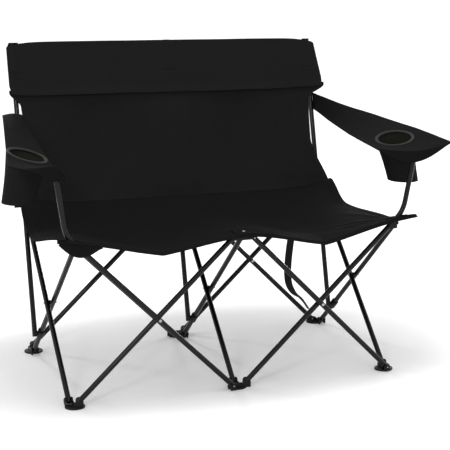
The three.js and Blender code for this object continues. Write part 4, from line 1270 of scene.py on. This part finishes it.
# A pocket wraps the rear of each upright's top and closes over its cap
pocket = dict(
    tubeClear=0.0112, low=0.437, top=0.5365, cloth=0.0014, front=-0.0105, narrowing=0.30,
    narrowSteep=6, spread=1.25, closeFrom=0.93, closing=0.85, columns=41, rows=40,
)


def pocketPoint(place, left, right):
    def surface(share, v):
        p = pocket
        narrow = 1 - p["narrowing"] * smooth(v * p["narrowSteep"] - (p["narrowSteep"] - 1))
        x = np.where(share < 0, -share * left, share * right) * narrow
        z = p["low"] + v * (p["top"] - p["low"])
        wrap = np.sqrt(np.maximum(0.0, 1 - np.minimum(1, np.abs(x) / (p["tubeClear"] * p["spread"])) ** 2))
        closed = smooth((v - p["closeFrom"]) / (1 - p["closeFrom"]))
        y = p["front"] + (p["tubeClear"] - p["front"]) * wrap * (1 - closed * p["closing"])
        return fromUpright(x + place, y, z)
    return surface


for word, place in pocketPlaces.items():
    shares, heights = np.linspace(-1, 1, pocket["columns"]), np.linspace(0, 1, pocket["rows"])
    grid, _, _ = gridOf(pocketPoint(*place), shares, heights)
    piece = clothShell(f"{word}Pocket", grid, pocket["cloth"], finishes["backCloth"])
    ride(piece, bodyOf(f"{word}_upright"), "back_cloth")
print("back cloth and head band made")


# The armrests. Each is a sleeve over its post, from its free front edge to the upright: share runs across from its
# inner side to its outer one, and v from the front to the rear. Reaches are across, setbacks to the rear
arm = dict(
    sag=0.008, droop=0.010, droopShare=0.35, tentShare=0.22, hemShare=0.016, cloth=0.0022, hem=0.0032,
    postTop=0.57615, postHeight=0.697, hemWidth=0.012, frontWidth=0.222, narrowing=0.7,
    columns=(60, 0.05, 6), hemRows=12, rows=120, calmSteep=8,
)
armShapes = dict(
    right=dict(
        side=1, innerReach=0.114, outerReach=0.128, innerRise=0.012, outerRise=0.031, innerSetback=0.044,
        outerSetback=0.002, noseReach=0.046, hemDrop=0.033, hemPeak=0.35, hemPower=1.8, tentRise=0.0,
        outerWave=0.003, cupSetback=0.118, cupShare=0.475, pouchLean=0.038, ripple=(31, 0.05, 0.25, 0.0010),
    ),
    left=dict(
        side=-1, innerReach=0.023, outerReach=0.128, innerRise=-0.025, outerRise=0.025, innerSetback=-0.026,
        outerSetback=0.002, noseReach=0.014, hemDrop=0.042, hemPeak=0.2, hemPower=3.6, tentRise=0.046,
        outerWave=-0.005, cupSetback=0.178, cupShare=0.535, pouchLean=0.027, ripple=(32, 0.05, 0.25, 0.0010),
    ),
)
# The rear edge: on edge beside the right upright, and lying across the front of the left one
armRears = dict(
    right=dict(x=0.520, low=0.752, rise=0.056),
    left=dict(x=-0.518, reach=0.062, low=0.768, arch=0.005, gap=0.0085),
)
uprightPivot = 0.526
uprightLean = math.atan2(uprightAlong[1], uprightAlong[2])
cup = dict(
    step=0.01, ring=0.057, ringTube=0.0052, squash=0.66, ringTurns=96, ringSides=20,
    crinkle=0.035, crinkles=23, crinkleDrift=0.7, crinkleDrifts=5, hole=0.0615, holeSides=64, cutReach=0.04,
    mouth=0.0612, foot=0.0485, depth=0.135, cloth=0.0012, wallSides=72, wallRows=40,
    waist=0.045, wobble=0.010, wobbles=4, overlap=0.001, floorSag=0.0015,
    floorShares=(0.97, 0.9, 0.75, 0.5, 0.25, 0.002),
)


def uprightMiddle(height):
    return uprightPivot + (height - pivotHeight) * math.tan(uprightLean)


def armRear(word, share):
    rear = armRears[word]
    if word == "right":
        height = rear["low"] + share * rear["rise"]
        return rear["x"], uprightMiddle(height), height
    height = rear["low"] + rear["arch"] * np.sin(math.pi * share)
    return rear["x"] - share * rear["reach"], uprightMiddle(height) - rear["gap"] / math.cos(uprightLean), height


def armPoint(word):
    def surface(share, v):
        a, form = arm, armShapes[word]
        side, width = form["side"], form["innerReach"] + form["outerReach"]
        arch = np.sin(math.pi * share)
        hem = form["hemDrop"] * peak(share, form["hemPeak"], form["hemPower"]) * smooth(1 - v / a["hemShare"])
        tent = form["tentRise"] * peak(share, form["innerReach"] / width, 1) * smooth(1 - v / a["tentShare"])
        droop = a["droop"] * arch * smooth(1 - v / a["droopShare"])
        setback = form["innerSetback"] + (form["outerSetback"] - form["innerSetback"]) * share
        frontX = side * (a["postTop"] + share * width - form["innerReach"])
        frontY = setback - form["noseReach"] * arch
        frontZ = a["postHeight"] + form["innerRise"] + share * (form["outerRise"] - form["innerRise"])
        rearX, rearY, rearZ = armRear(word, share)
        x = frontX + (rearX - frontX) * v
        y = frontY + (rearY - frontY) * v
        z = frontZ + (rearZ - frontZ) * v + tent - droop - hem
        z = z - a["sag"] * np.sin(math.pi * v) * (1 - share)
        z = z + form["outerWave"] * np.sin(2 * math.pi * v) * share
        z = z + waves(x, y, *form["ripple"]) * smooth(v * a["calmSteep"])
        return np.stack([x, y + frontLine, z], axis=-1)
    return surface


# A cup's place on its sleeve: its centre, and the directions across the sleeve, along it and out of it
def cupPlace(word):
    form, share, step = armShapes[word], armShapes[word]["cupShare"], cup["step"]

    def point(share, v):
        return armPoint(word)(np.array(float(share)), np.array(float(v)))

    frontEdge, rearEdge = point(share, 0)[1], point(share, 1)[1]
    v = (form["cupSetback"] + frontLine - frontEdge) / (rearEdge - frontEdge)
    centre = point(share, v)
    nextShare = point(share + form["side"] * step, v) - centre
    nextV = point(share, v + step) - centre
    normal = unit(np.cross(nextShare, nextV))
    across = unit(nextShare)
    return centre, across, np.cross(normal, across), normal


def ringAt(centre, radius, axisA, axisB, count):
    around = np.linspace(0, 2 * math.pi, count, endpoint=False)
    return centre + radius * (np.outer(np.cos(around), axisA) + np.outer(np.sin(around), axisB))


def closePole(piece, reach=3e-4):
    shape = bmesh.new()
    shape.from_mesh(piece.data)
    bmesh.ops.remove_doubles(shape, verts=shape.verts, dist=reach)
    shape.to_mesh(piece.data)
    shape.free()


def armSleeve(word, centre, across, along, normal):
    a = arm
    shares = crowded(*a["columns"])
    rows = np.concatenate([
        np.linspace(0, a["hemShare"], a["hemRows"])[:-1], np.linspace(a["hemShare"], 1, a["rows"]),
    ])
    grid, shareGrid, alongGrid = gridOf(armPoint(word), shares if word == "right" else shares[::-1], rows)
    edge = np.minimum(shareGrid, 1 - shareGrid) * a["frontWidth"] * (1 - alongGrid * a["narrowing"])
    thickness = np.where(edge < a["hemWidth"], a["hem"], a["cloth"])
    sleeve = clothShell(f"{word}Sleeve", grid, thickness, finishes["seatCloth"])
    ring = ringAt(np.zeros(3), cup["hole"], across, along, cup["holeSides"]) + centre
    out = normal * cup["cutReach"]
    cutOut(sleeve, prism("cupCutter", ring - out, ring + out, finishes["backCloth"]))
    gather(sleeve, word, "back_cloth", f"{word}_arm_sleeve")


# The bound ring: cloth tape folded over a hoop
def cupBinding(word, centre, across, along, normal):
    c = cup
    around = np.linspace(0, 2 * math.pi, c["ringSides"], endpoint=False)
    turn = np.linspace(0, 2 * math.pi, c["ringTurns"], endpoint=False)
    drift = c["crinkleDrift"] * np.sin(turn * c["crinkleDrifts"])
    crinkle = 1 + c["crinkle"] * np.sin(turn * c["crinkles"] + drift)
    rings = []
    for t in around:
        radius = c["ring"] + c["ringTube"] * math.cos(t) * crinkle
        lift = c["ringTube"] * c["squash"] * math.sin(t) * crinkle
        ringPoints = np.outer(np.cos(turn) * radius, across) + np.outer(np.sin(turn) * radius, along)
        rings.append(centre + ringPoints + np.outer(lift, normal))
    faces = [(a, b, d, c) for a, b, c, d in ringCorners(len(turn), len(around), closed=True)]
    uv = [(c["ringTube"] * t, c["ring"] * s) for t in around for s in turn]
    rim = meshPiece(f"{word}CupBinding", np.concatenate(rings), faces, [finishes["binding"]], uv=uv)
    gather(rim, word, "rim_binding", f"{word}_cup_rim")


# The pouch: a tapering wall under the ring, and its floor
def cupPouch(word, centre, across, along, normal):
    c = cup
    form = armShapes[word]
    down = np.array((0, 0, -1.0))
    mouth = centre - normal * (c["ringTube"] * c["squash"] - c["overlap"])
    foot = centre + down * c["depth"] + (form["side"] * form["pouchLean"], 0, 0)
    upper = ringAt(mouth, c["mouth"], across, along, c["wallSides"])
    lower = ringAt(foot, c["foot"], (1.0, 0, 0), (0, 1.0, 0), c["wallSides"])
    turn = np.linspace(0, 2 * math.pi, c["wallSides"], endpoint=False)[:, None]
    rows = []
    for share in np.linspace(0, 1, c["wallRows"]):
        ringPoints = upper * (1 - share) + lower * share
        middle = ringPoints.mean(0)
        bulge = math.sin(math.pi * share)
        puff = 1 - c["waist"] * bulge + c["wobble"] * bulge * np.sin(turn * c["wobbles"] + 1.0)
        rows.append(middle + (ringPoints - middle) * puff)
    rows += [foot + (lower - foot) * t + down * c["floorSag"] * (1 - t) for t in c["floorShares"]]
    pouch = clothShell(
        f"{word}Pouch", np.array(rows), c["cloth"], finishes["lining"], finishes["backCloth"], wraps=True
    )
    closePole(pouch)
    gather(pouch, word, "back_cloth", f"{word}_cup_pouch")


for word in ("left", "right"):
    place = cupPlace(word)
    armSleeve(word, *place)
    cupBinding(word, *place)
    cupPouch(word, *place)
    print(word, "armrest made")

# The webbing strap at the rear right. Its route is across in bay widths, up in pivot heights, and its turn
# towards the rear in quarter turns
strap = dict(
    width=0.025, cloth=0.0017, setback=0.5092, stations=120, columns=9, softening=30,
    route=[
        (0.8, 1.029, 0), (0.79, 0.8, -0.1), (0.765, 0.6, -0.2), (0.755, 0.42, -0.3), (0.77, 0.32, -0.45),
        (0.81, 0.25, -0.7), (0.865, 0.21, -0.9), (0.9, 0.16, -1), (0.925, 0.12, -1),
    ],
)


def strapPiece():
    route = np.array(strap["route"], float)
    fine = np.linspace(0, len(route) - 1, strap["stations"])
    curve = np.column_stack([np.interp(fine, np.arange(len(route)), route[:, k]) for k in range(3)])
    for _ in range(strap["softening"]):
        curve[1:-1] = (curve[:-2] + curve[1:-1] * 2 + curve[2:]) / 4
    setback = np.full(len(curve), strap["setback"] + frontLine)
    centres = np.column_stack([curve[:, 0] * bay["width"], setback, curve[:, 1] * pivotHeight])
    run = unit(np.gradient(centres, axis=0))
    turn = curve[:, 2] * math.pi / 2
    sideways = np.column_stack([-run[:, 2], np.zeros(len(run)), run[:, 0]])
    width = sideways * np.cos(turn)[:, None]
    width[:, 1] = np.sin(turn)
    offsets = np.linspace(-0.5, 0.5, strap["columns"])
    grid = centres[:, None, :] + width[:, None, :] * (offsets * strap["width"])[None, :, None]
    length = float(np.linalg.norm(np.diff(centres, axis=0), axis=1).sum())
    return clothShell("carryStrap", grid, strap["cloth"], finishes["webbing"]), length


strapObject, strapLength = strapPiece()
ride(strapObject, bodyOf("strap"), "webbing", "strap")
print("strap made, length", round(strapLength, 3))

# Floor, backdrop and soft studio light. The floor glows more away from the object, as the photograph's does: the glow
# is painted light, and its weak part under the object is a painted shadow
studio = dict(
    floorShade=(0.97, 0.97, 0.97, 1), reach=40.0, world=0.80, lampAim=(0, 0, 0.4),
    paintedShadowGlow=0.07, glowFar=0.36, glowAcross=0.74, glowAlong=0.38, glowFade=0.62,
    lamps=[
        dict(place=(-2.4, -2.8, 2.3), size=0.6, power=18, name="keyLamp"),
        dict(place=(-1.2, 3.0, 2.0), size=0.45, power=18, name="rearLeftLamp"),
        dict(place=(3.1, 2.4, 0.9), size=0.45, power=15, name="rearRightLamp"),
        dict(place=(0.1, 0.0, 3.3), size=1.2, power=18, name="topLamp"),
    ],
)


# The rays that see the stage itself: from the camera, from glossy and from clear surfaces
def seenRays(tree):
    camera = addNode(tree, "ShaderNodeLightPath", output="Is Camera Ray")
    path = camera.socket.node.outputs
    glossy, clear = Wire(tree, path["Is Glossy Ray"]), Wire(tree, path["Is Transmission Ray"])
    return camera.call("MAXIMUM", glossy).call("MAXIMUM", clear)


def makeFloor():
    finish = Finish("pale floor", Base_Color=studio["floorShade"], Roughness=0.9, Specular_IOR_Level=0.1)
    across, along, _ = finish.objectPlace().parts()
    across, along = across * (1 / studio["glowAcross"]), along * (1 / studio["glowAlong"])
    away = ((across * across + along * along) ** 0.5 - 1.0) * (1 / studio["glowFade"])
    away = away.call("MAXIMUM", 0.0).call("MINIMUM", 1.0)
    away = away * away * (3.0 - away * 2.0)
    # Painted light: the rays that see the stage see the floor glow, weakest near the object, where the weak glow is a
    # painted shadow
    paintedGlow = (away * (studio["glowFar"] - studio["paintedShadowGlow"]) + studio["paintedShadowGlow"]) * seenRays(finish.tree)
    finish.feed("Emission Color", finish.blendColours(paintedGlow, (0, 0, 0, 1), (1, 1, 1, 1)))
    finish.feed("Emission Strength", 1.0)
    reach = studio["reach"]
    floor = meshPiece(
        "floor", [(-reach, -reach, 0), (reach, -reach, 0), (reach, reach, 0), (-reach, reach, 0)],
        [(0, 1, 2, 3)], [finish.material],
    )


def makeWorld():
    world = bpy.data.worlds.new("studio")
    bpy.context.scene.world = world
    world.use_nodes = True
    tree = world.node_tree
    ground = tree.nodes["Background"]
    strength = seenRays(tree) * (1 - studio["world"]) + studio["world"]
    plug(tree, ground.inputs["Strength"], strength)
    ground.inputs["Color"].default_value = (1, 1, 1, 1)


def makeLamps():
    for lamp in studio["lamps"]:
        data = bpy.data.lights.new(lamp["name"], "AREA")
        data.energy = lamp["power"]
        data.shape = "DISK"
        data.size = lamp["size"]
        piece = bpy.data.objects.new(lamp["name"], data)
        piece.location = lamp["place"]
        aim = Vector(studio["lampAim"]) - Vector(lamp["place"])
        piece.rotation_euler = aim.to_track_quat("-Z", "Y").to_euler()
        bpy.context.scene.collection.objects.link(piece)


makeFloor()
makeWorld()
makeLamps()
print("studio made")
